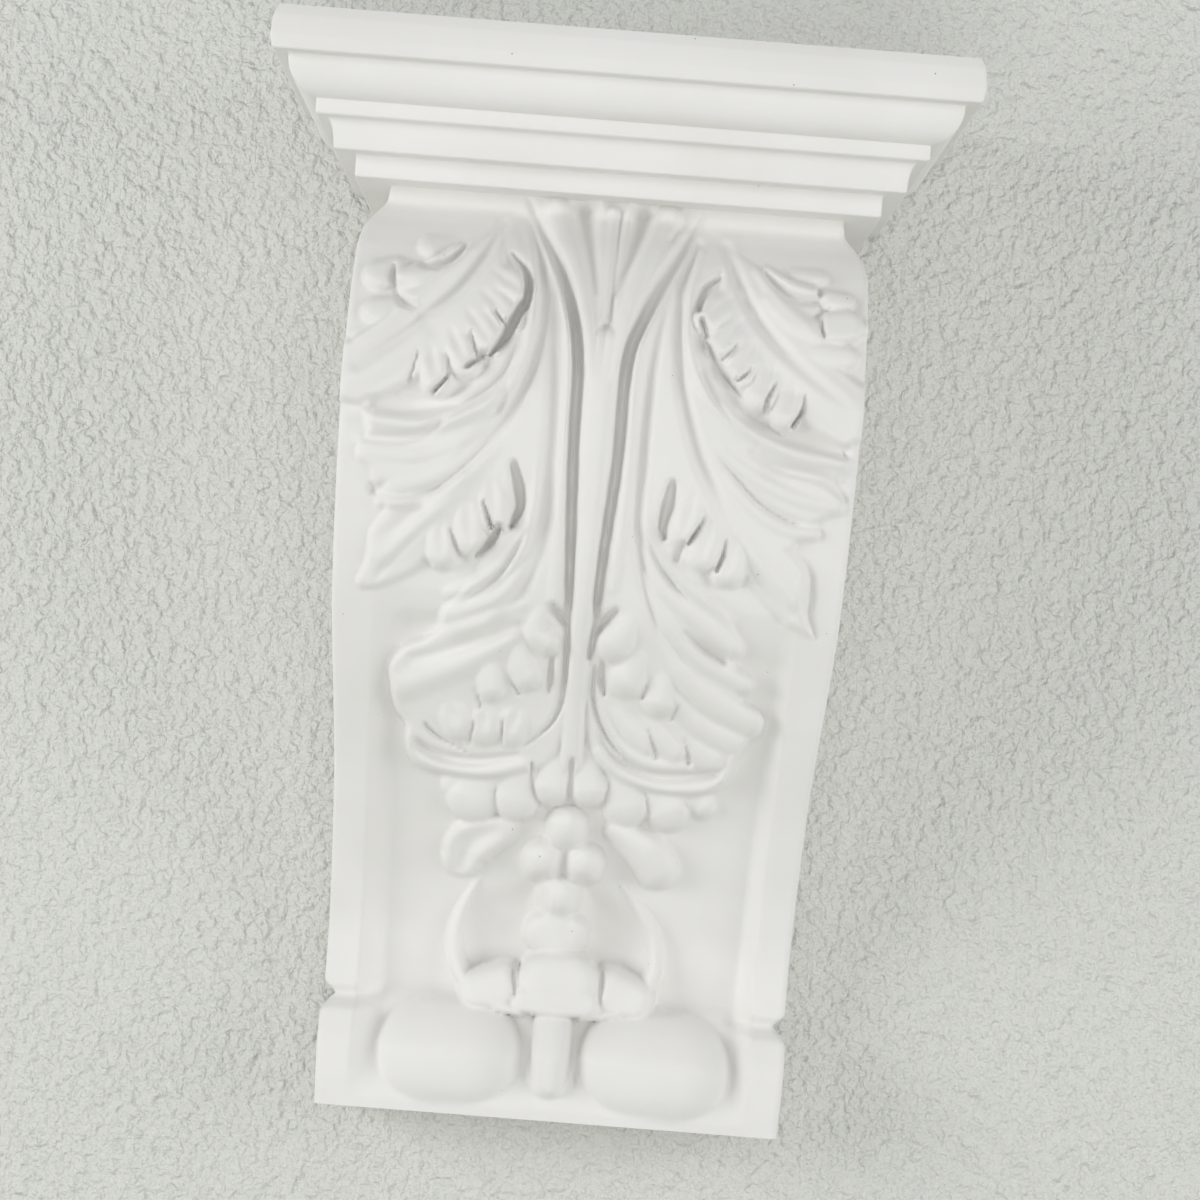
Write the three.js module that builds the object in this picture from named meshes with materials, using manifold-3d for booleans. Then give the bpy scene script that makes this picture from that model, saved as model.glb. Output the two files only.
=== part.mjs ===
// A cast plaster corbel: a console block with a swelling face of acanthus leaves under a stepped crown.
// Millimetres: x across from the middle, -y out of the wall, z up. The back lies on y = 0, and the
// middle of the height on z = 0. Inside the functions, heights are measured up from the bottom edge.
import * as THREE from "three";
import Module from "manifold-3d";

const HEIGHT = 306;
const BODY_TOP = 263;
const CROWN_BACKSET = 4.9;
const LEFT = -1;
const RIGHT = 1;
const MID = 1;

const wasm = await Module();
wasm.setup();

// Depth of the front face over the wall, from the bottom up: foot roll, waist, bulge, shoulder.
const PROFILE = [
  [0, 26], [10, 27.7], [18, 28], [27, 24.4], [36, 18.6], [48, 18.5], [65, 23.5], [80, 30.5],
  [95, 38.5], [110, 48], [124, 57.4], [138, 66.4], [152, 75], [170, 82], [188, 87], [206, 89],
  [222, 87.5], [234, 83], [245, 76], [251, 70], [256, 64], [261, 59.6], [265, 59.3],
];
// Half width of the body: flat sides with a little draft, drawn in under the crown.
const SIDES = [
  [0, 68.4], [27, 68.9], [31.5, 65.6], [36, 68.7], [95, 68.8], [152, 70.4], [245, 70.7],
  [251, 69.9], [256, 67.6], [261, 64.6], [265, 64.2],
];
// How far the panel between the side rails is sunk, by height.
const PANEL = [
  [0, 0], [3, 0], [10, 3], [18, 6], [27, 8.5], [36, 8], [48, 6], [65, 5], [124, 4], [138, 3], [152, 0],
];
const RAIL_INNER = 59;
const COVE_LEFT = 8.5;
const COVE_RIGHT = 5.5;
// The notch over each foot block.
const NOTCH_HEIGHT = 31.5;
const NOTCH_DEPTH = 4.5;
const NOTCH_HALF = 3.2;
const NOTCH_INNER = 50;
const NOTCH_RUN = 8;
// The front is worked out on a fine grid, then covered with as many triangles as it may have.
const ACROSS = 280;
const UP = 526;
const FRONT_TRIANGLES = 9400;
const SOFTEN_PASSES = 4;
const SOFTEN = 0.5;

const clamp = (v, low, high) => Math.min(high, Math.max(low, v));

// A size from a table at a height, on a smooth curve through the table's rows.
function along(table, height) {
  const last = table.length - 1;
  const h = clamp(height, table[0][0], table[last][0]);
  const slope = (i) => (table[i + 1][1] - table[i][1]) / (table[i + 1][0] - table[i][0]);
  const bend = (i) => {
    if (i === 0) return slope(0);
    if (i === last) return slope(last - 1);
    const [before, after] = [slope(i - 1), slope(i)];
    return before * after > 0 ? (2 * before * after) / (before + after) : 0;
  };
  let i = 0;
  while (i < last - 1 && h > table[i + 1][0]) i++;
  const step = table[i + 1][0] - table[i][0];
  const t = (h - table[i][0]) / step;
  const s = 1 - t;
  return table[i][1] * (1 + 2 * t) * s * s + step * bend(i) * t * s * s +
    table[i + 1][1] * t * t * (3 - 2 * t) - step * bend(i + 1) * t * t * s;
}

// The grid, and how far the relief stands over the face at each of its points.
const columns = ACROSS + 1;
const rows = UP + 1;
const gridX = new Float64Array(columns * rows);
const gridZ = new Float64Array(columns * rows);
const relief = new Float64Array(columns * rows);
for (let row = 0; row < rows; row++) {
  const z = (BODY_TOP * row) / UP;
  const half = along(SIDES, z);
  const sunk = z < PANEL.at(-1)[0] ? along(PANEL, z) : 0;
  for (let column = 0; column < columns; column++) {
    const x = half * ((2 * column) / ACROSS - 1);
    const inner = clamp((RAIL_INNER - Math.abs(x)) / (x < 0 ? COVE_LEFT : COVE_RIGHT), 0, 1);
    const notch = clamp(1 - Math.abs(z - NOTCH_HEIGHT) / NOTCH_HALF, 0, 1);
    const i = row * columns + column;
    gridX[i] = x;
    gridZ[i] = z;
    relief[i] = -sunk * Math.sin((inner * Math.PI) / 2) ** 1.2 -
      NOTCH_DEPTH * notch * clamp((Math.abs(x) - NOTCH_INNER) / NOTCH_RUN, 0, 1);
  }
}

// A smooth line through points, in even steps.
function curve(side, points, steps) {
  const spline = new THREE.SplineCurve(points.map(([x, z]) => new THREE.Vector2(x * side, z)));
  return spline.getPoints(steps);
}

// A width or a level that changes evenly along a curve.
function spread(values, t) {
  if (!Array.isArray(values)) return values;
  const at = t * (values.length - 1);
  const i = Math.min(Math.floor(at), values.length - 2);
  return values.length === 1 ? values[0] : values[i] + (values[i + 1] - values[i]) * (at - i);
}

const widest = (values) => (Array.isArray(values) ? Math.max(...values) : values);

// Calls `shape` for each grid point within reach of a line, with its distance and place along the line.
function beside(line, reach, shape) {
  const xs = line.map((p) => p.x);
  const zs = line.map((p) => p.y);
  const [left, right] = [Math.min(...xs) - reach, Math.max(...xs) + reach];
  const [low, high] = [Math.min(...zs) - reach, Math.max(...zs) + reach];
  for (let i = 0; i < relief.length; i++) {
    const x = gridX[i];
    const z = gridZ[i];
    if (x <= left || x >= right || z <= low || z >= high) continue;
    let nearest = Infinity;
    let t = 0;
    for (let k = 0; k < line.length - 1; k++) {
      const [a, b] = [line[k], line[k + 1]];
      const [dx, dz] = [b.x - a.x, b.y - a.y];
      const s = clamp(((x - a.x) * dx + (z - a.y) * dz) / (dx * dx + dz * dz + 1e-9), 0, 1);
      const far = Math.hypot(x - a.x - s * dx, z - a.y - s * dz);
      if (far < nearest) [nearest, t] = [far, (k + s) / (line.length - 1)];
    }
    shape(i, nearest, t);
  }
}

// A soft ridge along a curve, or a soft channel where the height is below zero.
function flute(side, spine, width, height) {
  beside(curve(side, spine, 40), widest(width), (i, far, t) => {
    relief[i] += (spread(height, t) * (1 + Math.cos(Math.PI * clamp(far / spread(width, t), 0, 1)))) / 2;
  });
}

function rounded(side, spine, width, level, base, power, soft, way) {
  beside(curve(side, spine, 40), widest(width), (i, far, t) => {
    const q = far / spread(width, t);
    if (q >= 1) return;
    const shape = base + (spread(level, t) - base) * (1 - q ** power) ** (1 / power);
    const mix = clamp(0.5 + (0.5 * way * (shape - relief[i])) / soft, 0, 1);
    relief[i] = shape * mix + relief[i] * (1 - mix) + way * soft * mix * (1 - mix);
  });
}

// A full, rounded form along a curve, standing up to its level.
function lobe(side, spine, width, level, base = -5, power = 2.2, soft = 0.35) {
  rounded(side, spine, width, level, base, power, soft, 1);
}

// A round-bottomed cut along a curve, down to its level.
function cut(side, spine, width, level, base = 6, soft = 0.35) {
  rounded(side, spine, width, level, base, 2.2, soft, -1);
}

// Calls `shape` for each grid point inside a smooth closed outline, with its distance from the outline
// and its height in it, from 0 to 1.
function within(side, outline, shape) {
  const ring = [outline.at(-1), ...outline, outline[0], outline[1]];
  const line = curve(side, ring, 7 * (ring.length - 1)).slice(7, -7);
  const zs = line.map((p) => p.y);
  const [low, high] = [Math.min(...zs), Math.max(...zs)];
  beside(line, 0, (i, far) => {
    let inside = false;
    for (let k = 0; k < line.length - 1; k++) {
      const [a, b] = [line[k], line[k + 1]];
      if (a.y > gridZ[i] === b.y > gridZ[i]) continue;
      if (gridX[i] < a.x + ((gridZ[i] - a.y) / (b.y - a.y)) * (b.x - a.x)) inside = !inside;
    }
    if (inside) shape(i, far, (gridZ[i] - low) / (high - low));
  });
}

// A flat leaf with a rounded edge, its level given from its foot to its top.
function leaf(side, outline, level, edge, base) {
  within(side, outline, (i, far, up) => {
    const q = 1 - clamp(far / edge, 0, 1);
    const top = base + (spread(level, up) - base) * (1 - q ** 2.2) ** (1 / 2.2);
    relief[i] = Math.max(relief[i], top);
  });
}

// A dished hollow inside an outline.
function hollow(side, outline, level, edge) {
  within(side, outline, (i, far, up) => {
    const dish = (1 - Math.cos(Math.PI * clamp(far / edge, 0, 1))) / 2;
    relief[i] = Math.min(relief[i], relief[i] * (1 - dish) + spread(level, up) * dish);
  });
}

// A row of lobes, from a curve of roots to a curve of tips, each curve given by three points. Each lobe
// is a little hollow along its middle.
function spray(side, roots, tips, count, width, level, base, dimple) {
  const on = (points) => {
    return new THREE.QuadraticBezierCurve(...points.map(([x, z]) => new THREE.Vector2(x, z)));
  };
  const [rootLine, tipLine] = [on(roots), on(tips)];
  const spines = Array.from({ length: count }, (_, i) => {
    const root = rootLine.getPoint((i + 0.5) / count);
    const tip = tipLine.getPoint((i + 0.5) / count);
    return [root, root.clone().lerp(tip, 0.5), tip].map((p) => [p.x, p.y]);
  });
  for (const spine of spines) lobe(side, spine, width, level, base, 2.8);
  for (const spine of spines) flute(side, spine, [0.5, 2.6, 1.6], [0, -dimple, -0.2]);
}

// Leaf masses, from the lowest leaves up.
leaf(LEFT, [[1, 262], [14, 262], [22, 230], [26, 205], [27, 185], [28, 172], [31, 160], [36, 151.6],
    [40, 147.6], [42, 141], [49, 137], [54, 131], [53.5, 124], [52, 118], [49, 114], [49, 109],
    [47, 104], [43, 101], [36, 99.6], [24, 99], [12, 102], [4, 109], [1, 130], [1, 180]], [0.6, 1.4, 2,
    2, 1.6], 2.6, -6);
leaf(RIGHT, [[1, 262], [14, 262], [22, 230], [26, 205], [27, 185], [29, 172], [34, 158], [40, 151],
    [44, 144], [43, 139], [46, 134], [46, 130], [49, 122], [50, 117], [47, 111], [45, 105], [41, 100.4],
    [32, 98.6], [22, 99], [12, 102], [4, 110], [1, 130], [1, 180]], [0.6, 1.4, 2, 2, 1.6], 2.6, -6);
leaf(LEFT, [[1, 264], [36, 264], [35, 250], [28, 242], [24, 234], [24, 228], [28, 220], [33, 213],
    [40, 205.4], [50, 203.4], [60, 203], [65, 198.6], [63, 194.6], [65.6, 189.6], [65.6, 185],
    [62, 182.4], [60.6, 177], [57, 173.4], [61, 167], [61.6, 159], [64.5, 152], [60, 150], [53, 152.6],
    [47, 156], [41, 161.4], [34, 165.6], [28.6, 171], [25, 179], [22, 188], [16, 204], [8, 220], [1,
    230]], [2, 2, 2, 1.6, -0.6], 2.6, -4);
leaf(RIGHT, [[1, 264], [36, 264], [35, 249], [29, 243], [25, 234], [25.4, 227], [29, 219], [34, 211.6],
    [40, 205.6], [50, 203], [60, 203], [66, 199], [68, 194], [66.6, 189], [69, 184], [67, 179.4],
    [62, 177.6], [62.6, 173], [58, 170.4], [60.5, 164], [60, 156], [61.5, 151], [64, 146], [56, 149],
    [47, 155.6], [41, 162], [33, 166.4], [27, 171], [23.6, 178], [20, 188], [15, 204], [8, 220], [1,
    230]], [2, 2, 2, 1.6, -0.6], 2.6, -4);
leaf(LEFT, [[31, 256], [37, 252], [41, 248.6], [44, 245], [48, 241.6], [53, 240.4], [58.6, 239],
    [60.5, 234], [58.6, 229], [60, 225], [66, 220], [72.4, 214], [72.4, 202], [66, 199.6], [60, 201.6],
    [54, 205], [48.6, 208.6], [42, 214], [35.4, 221], [30.4, 227], [28, 233], [28.6, 241], [29.6, 248]],
    [3, 3, 3, 2.6, 0.8], 2.2, -4);
leaf(RIGHT, [[31, 254], [36, 251.6], [40, 248.6], [43, 245], [47, 241], [55, 240], [58, 237], [56, 231],
    [60, 227], [61, 222], [66, 219], [72.4, 213], [72.4, 204], [67, 198], [60, 200.4], [54, 204],
    [48, 208], [41.6, 212.6], [35.4, 218.6], [30.6, 225.6], [28.4, 232], [29.6, 240], [29.6, 247]], [3,
    3, 3, 2.6, 0.8], 2.2, -4);

// Soft flutes and fillets that run down from the stem into the leaves, left.
flute(LEFT, [[27, 258], [17, 238], [13.2, 215], [12.4, 190], [14, 168], [19, 152], [26, 141]], [5, 4,
    3.4, 3.6, 4, 4, 3], [-0.8, -1.2, -1.6, -1.6, -1.6, -1.2, -0.4]);
flute(LEFT, [[17.6, 256], [12.2, 236], [9.8, 214], [9.4, 190], [8.8, 168], [9, 152]], [2.6, 2.2, 2, 2.2,
    2.8, 3], [0.8, 1, 1, 0.8, 0.8, 0.6]);
flute(LEFT, [[24, 258], [19, 240], [18.2, 222], [21.4, 208], [27.4, 196.4], [36, 186.4], [46, 176], [56,
    163]], [3, 2.6, 2.4, 2.6, 3.2, 3.6, 4, 4], [-1, -1.4, -1.6, -1.8, -2, -1.8, -1.4, -0.6]);
flute(LEFT, [[24.6, 256], [21, 242], [20.2, 228], [22.4, 214], [28, 204.8], [37, 199], [48, 195.6], [61,
    196]], [2, 1.8, 2.2, 2.4, 2.8, 3.4, 3.6, 3.4], [0.6, 1, 1.6, 1.8, 2, 2, 2, 1.6]);
flute(LEFT, [[23.6, 208], [29, 200], [38, 192.6], [49, 188.8], [63, 188.4]], [1.6, 2.2, 2.6, 2.6, 2.2],
    [0.6, 1.2, 1.6, 1.6, 1.2]);
flute(LEFT, [[28, 199], [38, 188.6], [50, 184.2], [63, 184.8]], [2, 2.8, 2.8, 2.4], [0.6, 1.2,
    1.4, 1.2]);
flute(LEFT, [[38, 185], [47, 181.4], [58, 180.6]], [2, 2.2, 2], [0.8, 1, 1]);
flute(LEFT, [[36, 183], [46, 175.6], [58, 174.2]], [2.4, 2.6, 2.4], [0.8, 1.2, 1.2]);
flute(LEFT, [[40, 202.4], [51, 200.6], [62, 200]], [2.4, 3.8, 3.2], [-0.8, -3, -2.6]);
flute(LEFT, [[42, 180], [52, 178.4], [60, 177.8]], [2, 3, 2.4], [-0.6, -2.6, -2]);
flute(LEFT, [[48, 187], [56, 186.8], [63, 187]], [1, 1.5, 1.3], [-0.8, -1.6, -1.2]);
flute(LEFT, [[24.2, 219], [27.4, 211], [34, 204.2], [40.6, 198.8], [46.6, 193.8], [53, 191.6], [63,
    191.2]], [1, 1.4, 1.6, 1.6, 1.9, 2.1, 1.8], [-0.6, -1.2, -1.4, -1.6, -2, -2.2, -1.4]);
flute(LEFT, [[25.2, 209], [27.8, 202], [32, 195.6], [37, 190]], [1, 1.8, 1.8, 1], [-0.4, -2, -2, -0.4]);
flute(LEFT, [[15.6, 188], [16.2, 175], [19, 165], [26, 156.8], [38, 151]], [2, 2.4, 2.8, 3, 3], [1, 1.6,
    1.6, 1.4, 1]);
flute(LEFT, [[17.4, 170], [20.4, 163.6], [25, 157], [32.6, 150.4]], [1, 1.6, 1.6, 0.9], [-0.6, -2.6,
    -2.6, -0.6]);
flute(LEFT, [[14, 168], [18, 158], [25, 150.6], [38, 145]], [2, 2.6, 3, 3], [0.6, 1.2, 1.2, 0.6]);
flute(LEFT, [[31, 256], [35.6, 245], [41.6, 235], [50, 226], [66, 210]], [3, 3.2, 3.4, 3.4, 3], [-1,
    -1.8, -2, -1.8, -0.8]);
flute(LEFT, [[50, 219], [60, 211], [71, 205]], [5, 6, 6], [0.8, 1.2, 0.8]);
flute(LEFT, [[40, 246], [46, 238], [54, 229], [67, 219]], [2.4, 3.4, 4, 3.4], [1, 1.6, 1.4, 1]);
flute(LEFT, [[26, 194], [34, 184], [44, 172], [57, 160]], [3, 4, 4.8, 5], [0.8, 1.4, 1.4, 1]);
flute(LEFT, [[41, 172], [50, 163.6], [58, 154]], [1.6, 2, 1.6], [-0.4, -0.8, -0.4]);
flute(LEFT, [[18, 150], [28, 144], [42, 139]], [3, 3.4, 3.2], [1, 1.2, 0.8]);
flute(LEFT, [[18, 144], [30, 138.4], [47, 132.6]], [2.2, 2.6, 2.6], [-1, -1.2, -0.8]);
flute(LEFT, [[20, 140], [32, 132.6], [50, 124]], [4, 5.4, 5.4], [1.4, 1.8, 1.2]);
flute(LEFT, [[48, 112], [46, 105], [38, 102], [26, 101.4], [14, 104.6]], [2.4, 2.8, 2.8, 2.8, 2.4],
    [1.4, 1.8, 2.2, 2.2, 1.8]);

// The same on the right, where the leaves differ.
flute(RIGHT, [[27, 256], [17.4, 238], [13.4, 222], [12.4, 206], [12.2, 190], [13.2, 172], [17, 157],
    [24, 142], [30, 128]], [4.4, 3.6, 2.8, 2.6, 2.6, 2.8, 3.4, 3.4, 2.6], [-0.8, -1.2, -1.4, -2, -2, -2,
    -2.2, -2, -1]);
flute(RIGHT, [[18.6, 256], [12.8, 238], [9.4, 224], [8.4, 208], [8.6, 190], [8, 172], [7, 156]], [2.6,
    2.2, 1.8, 1.6, 1.8, 2, 2.4], [0.8, 1, 1, 1, 1, 0.8, 0.6]);
flute(RIGHT, [[23.6, 254], [19.8, 236], [20.2, 218], [23.4, 204], [29, 189.6], [37, 175.4], [45, 163],
    [54, 151.6]], [2.6, 2.4, 2.4, 3, 3.6, 3.8, 3.6, 3], [-1, -1.4, -1.8, -2, -2.2, -2, -1.6, -0.8]);
flute(RIGHT, [[24.4, 252], [22, 238], [22, 225], [25.6, 213.6], [32.4, 205.8], [42, 199.4], [54, 195.2],
    [67, 194]], [1.8, 1.8, 2, 2.4, 2.8, 3.2, 3.4, 3.4], [0.6, 1, 1.6, 1.8, 2, 2, 2, 1.6]);
flute(RIGHT, [[25, 208], [31, 198.4], [39, 191.6], [50, 186], [67, 180]], [1.6, 2.4, 2.8, 3, 2.6], [1,
    1.4, 1.6, 1.6, 1.2]);
flute(RIGHT, [[29, 198], [33, 188.6], [39.6, 180.6], [49, 174.6], [61, 172.4]], [2, 2.6, 3, 3, 2.2], [1,
    1.6, 1.6, 1.6, 1.2]);
flute(RIGHT, [[50, 188.4], [58, 187], [66, 184.6]], [2, 3, 3], [0.6, 1.4, 1.4]);
flute(RIGHT, [[38, 205], [49, 201.4], [58, 199.4], [66, 196.4]], [2, 3.4, 3.2, 2.2], [-0.6, -3,
    -3, -2.2]);
flute(RIGHT, [[25.8, 216.4], [30.4, 208.4], [37, 201.4], [43, 196.6]], [0.9, 1.3, 1.3, 0.9], [-0.6, -1.6,
    -1.6, -0.6]);
flute(RIGHT, [[41, 195], [48.6, 191.6], [56, 190.4], [62.6, 188.8], [67.8, 185]], [1.3, 1.9, 2, 2, 1.8],
    [-0.6, -2, -2.2, -2.2, -1.4]);
flute(RIGHT, [[45, 190], [52, 186], [58, 183.2], [64, 181.6]], [1.4, 1.8, 1.8, 1.4], [-0.6, -1.6,
    -1.8, -1.2]);
flute(RIGHT, [[32, 196], [40, 185.2], [47.4, 179], [61, 174.8]], [1.8, 2.8, 3.4, 2.6], [-0.4, -2,
    -2.8, -2.2]);
flute(RIGHT, [[13.4, 188], [14, 175], [18, 166.6], [26, 159], [34, 153.8], [40.6, 149.6]], [1.8, 2.2,
    2.4, 2.6, 2.4, 2], [1, 1.4, 1.4, 1.4, 1.2, 0.8]);
flute(RIGHT, [[15, 172], [17.8, 166], [21.8, 160.2], [28, 154]], [0.7, 1.5, 1.5, 0.8], [-0.6, -2.4,
    -2.4, -0.6]);
flute(RIGHT, [[31, 254], [36, 240], [42, 230], [52, 219.6], [65, 210]], [3, 3.2, 3.2, 3.2, 2.6], [-1,
    -1.8, -1.8, -1.4, -0.6]);
flute(RIGHT, [[40, 246], [47, 236], [56, 229]], [2.4, 3.4, 3.4], [1, 1.6, 1.4]);
flute(RIGHT, [[50, 220], [60, 213], [71, 207]], [4.6, 6, 6], [0.8, 1.2, 0.8]);
flute(RIGHT, [[25, 192], [33, 181], [43, 168], [56, 157]], [3, 3.8, 4.6, 4.8], [0.8, 1.4, 1.4, 1]);
flute(RIGHT, [[40, 172], [49, 162], [57, 152]], [1.6, 2, 1.6], [-0.4, -0.8, -0.4]);
flute(RIGHT, [[47, 116], [45, 107.6], [38.6, 101.8], [26, 100.8], [14, 103.8], [6.6, 110]], [2.2, 2.8,
    2.8, 2.8, 2.6, 2.2], [1.4, 1.8, 2, 2.2, 1.8, 1.4]);

// Rounded fingers of the lower right leaf, and the curled edge beside the stem.
lobe(RIGHT, [[15, 168], [21, 157], [30, 150], [41, 142.4]], [2, 3, 3.8, 3.8], [2, 2.6, 2.8, 2.6], -3);
lobe(RIGHT, [[16, 160], [23.4, 147.4], [33, 138.6], [45.6, 132.4]], [2.4, 3.2, 3.8, 3.2], [2, 2.6,
    2.8, 2.4], -3);
lobe(RIGHT, [[19, 148], [27, 135], [37, 127], [48.6, 121.6]], [2.6, 3.8, 5, 4.6], [1.8, 2.8, 3.2, 2.6],
    -3);
lobe(RIGHT, [[26, 128], [34, 120], [44, 115.6]], [3, 4.4, 4.6], [1.8, 2.6, 2.2], -3);
lobe(RIGHT, [[5.4, 124], [9.6, 115.6], [16, 109.8], [24, 107.4], [33, 107.8]], [2, 2.8, 3, 3, 2.8],
    [1.6, 2.4, 2.8, 2.8, 2.4], -3);
flute(RIGHT, [[28, 145], [34, 141.6], [39.4, 139]], [1.6, 2.4, 2.4], [-1, -2.8, -2.8]);

// Curled tips and stubs at the top of the upper leaves.
lobe(LEFT, [[42.6, 246], [47.6, 240], [53, 236.6], [58.4, 236]], [2, 3.4, 4.2, 3], [3.4, 5, 6, 5.4],
    -2);
lobe(LEFT, [[45, 249], [50, 246.6]], [3, 5], [0.6, 2.4], -3);
lobe(LEFT, [[58.6, 238.6], [63.2, 236.4]], [3.8, 4.8], [3.4, 3.8], -4, 3.2);
lobe(LEFT, [[56, 226.6], [62.6, 225.8]], [4.8, 4.6], [3.2, 3.4], -4, 3.2);
lobe(RIGHT, [[42.6, 246.6], [47.6, 242.8], [54.4, 240.6]], [1.8, 2.6, 2.8], [3, 4.6, 5], -2);
lobe(RIGHT, [[50.6, 246.6], [57.2, 245.8]], [3, 3.2], [1.4, 2.4], -3);
lobe(RIGHT, [[43, 238], [49.6, 232], [57, 229]], [3, 4.6, 4.8], [4, 4.8, 4.2], -2);
lobe(RIGHT, [[58.6, 239.4], [63.6, 238.8]], [3.2, 3.2], [3.4, 3.6], -4, 3.4);
lobe(RIGHT, [[61.4, 231], [64.6, 231.6]], [5, 5], [4.8, 4.8], -4, 4.5);
lobe(RIGHT, [[57.6, 223.6], [65, 222.8]], [3.8, 3.8], [3.6, 3.6], -4, 3.4);

// Scalloped lobes along the sprays.
spray(LEFT, [[30, 249], [37.4, 234], [50, 221]], [[25.8, 236], [29, 217], [50.6, 207]], 5, [4,
    4.8, 4.6], [2, 3.4, 4.4], -3, 0.9);
spray(RIGHT, [[31, 247], [37, 230], [52, 216]], [[27.6, 234], [33, 212], [51.4, 206.6]], 5, [4,
    4.8, 4.6], [2, 3.4, 4.4], -3, 0.9);
spray(LEFT, [[25.8, 187], [34, 178], [45, 168]], [[23.8, 176], [31, 163], [44.5, 161]], 3, [4, 5, 4.8],
    [1.2, 3, 4.2], -3, 0.8);
spray(RIGHT, [[25.4, 187], [30, 178], [43, 168]], [[23, 176], [28.6, 164], [42, 162]], 3, [4, 5, 4.8],
    [1.2, 3, 4.2], -3, 0.8);
lobe(LEFT, [[12.6, 148], [13, 142], [9.8, 139.6]], [3.4, 4.4, 4.4], [2, 4.2, 5], -4);
lobe(LEFT, [[18.6, 141], [16.4, 133], [14.8, 130]], [4, 5.4, 5.2], [1.6, 3.8, 4.6], -4);
lobe(LEFT, [[27.4, 136], [25.2, 129], [24.6, 126]], [4, 5.4, 5], [1.4, 3.6, 4.4], -4);
spray(LEFT, [[42, 122], [26, 119.6], [12, 122]], [[37.6, 116], [26, 112.4], [15, 114.8]], 3, [4.6,
    5.8, 5.6], [0.8, 2.4, 3.2], -4, 0.7);
lobe(RIGHT, [[12.8, 148], [10, 142.8], [8.8, 140.6]], [4.6, 6.4, 6.2], [2, 4.4, 5.2], -4);
lobe(RIGHT, [[16.4, 140], [13.8, 132.6], [13, 131]], [4.6, 6.2, 6.2], [1.6, 4, 4.8], -4);
lobe(RIGHT, [[23.6, 134], [22.8, 127.4], [22.6, 126]], [4.4, 6, 6], [1.4, 3.6, 4.4], -4);
lobe(RIGHT, [[10, 123], [15.4, 117], [20.4, 113]], [3.4, 4.6, 4.2], [1.2, 2.6, 3.2], -4);
lobe(RIGHT, [[18.6, 120.6], [24, 115], [28.4, 111.4]], [3.4, 4.8, 4.4], [1.2, 2.6, 3.2], -4);
lobe(RIGHT, [[29, 117.6], [35, 112], [39.4, 109.8]], [3.8, 5.2, 4.8], [1.2, 2.4, 2.4], -4);

// Fan of drops below the leaves, and the two small leaves under it.
lobe(LEFT, [[4.8, 108], [5.6, 98.8]], [4, 5.4], [-0.6, 2.6], -8);
lobe(LEFT, [[14, 106], [15.8, 94.4]], [4.8, 6.2], [-0.8, 2], -8);
lobe(LEFT, [[26, 102], [28.4, 94]], [6, 7], [-1.4, 1], -8);
lobe(RIGHT, [[4, 108], [5, 99]], [4, 5.4], [-0.6, 2.6], -8);
lobe(RIGHT, [[14, 106], [16.2, 94.8]], [4.8, 6.2], [-0.8, 2], -8);
lobe(RIGHT, [[25, 102], [28.4, 94.8]], [5.4, 6.4], [-1.4, 1.4], -8);
lobe(RIGHT, [[35, 100], [38.4, 96.4]], [4, 4.2], [-2, -0.6], -8);
lobe(LEFT, [[18, 85.4], [28, 79.8], [30.4, 75.4]], [4.6, 8, 6.4], [-2.2, -1.2, -1.6], -9, 3);
flute(LEFT, [[22, 84], [29, 79.6], [31, 73]], [4, 5.4, 4.4], [-0.8, -2.2, -1.6]);
lobe(RIGHT, [[14, 87], [23, 81.4], [27, 76.4]], [4, 6.8, 6.8], [-0.4, 1.4, 1], -9);

// Stem with its fork, and the hanging fruit.
lobe(MID, [[-0.4, 222], [-0.5, 205], [-0.6, 180], [-0.8, 150], [-1, 128], [-0.6, 106]], [5, 5, 4.4, 3.4,
    3.4, 4], [3.2, 3.6, 3.8, 3.8, 3, 1.4], -4, 2.6);
lobe(MID, [[-3, 212], [-6.2, 229], [-10.8, 245], [-17, 262]], [2.4, 3.2, 3.8, 4.4], [3.4, 3.6, 3.4, 3],
    -3);
lobe(MID, [[2.4, 212], [4.8, 229], [8.6, 245], [15, 262]], [2.4, 3.2, 3.8, 4.4], [3.4, 3.6, 3.4, 3],
    -3);
lobe(MID, [[-1, 228], [-1, 242], [-1, 262]], [1, 2, 2.4], [2, 2.2, 2], -2);
flute(MID, [[-0.6, 226], [-0.8, 212]], [2, 1], [-1, 0]);
flute(MID, [[-9, 262], [-6.6, 250], [-4, 236]], [5, 3.4, 1.6], [-4, -2, -0.6]);
flute(MID, [[8, 262], [5.6, 250], [2, 236]], [5, 3.4, 1.6], [-4, -2, -0.6]);
lobe(MID, [[-0.5, 87], [-0.5, 85.6]], 7, 3.6, -9, 2);
lobe(MID, [[-6.6, 76.6], [-6.6, 76]], 7.4, 3.8, -9, 2);
lobe(MID, [[5.2, 76.4], [5.2, 75.8]], 7, 3.8, -9, 2);
lobe(MID, [[-1, 66], [-1, 65.2]], 7.2, 3.6, -9, 2);

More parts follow.
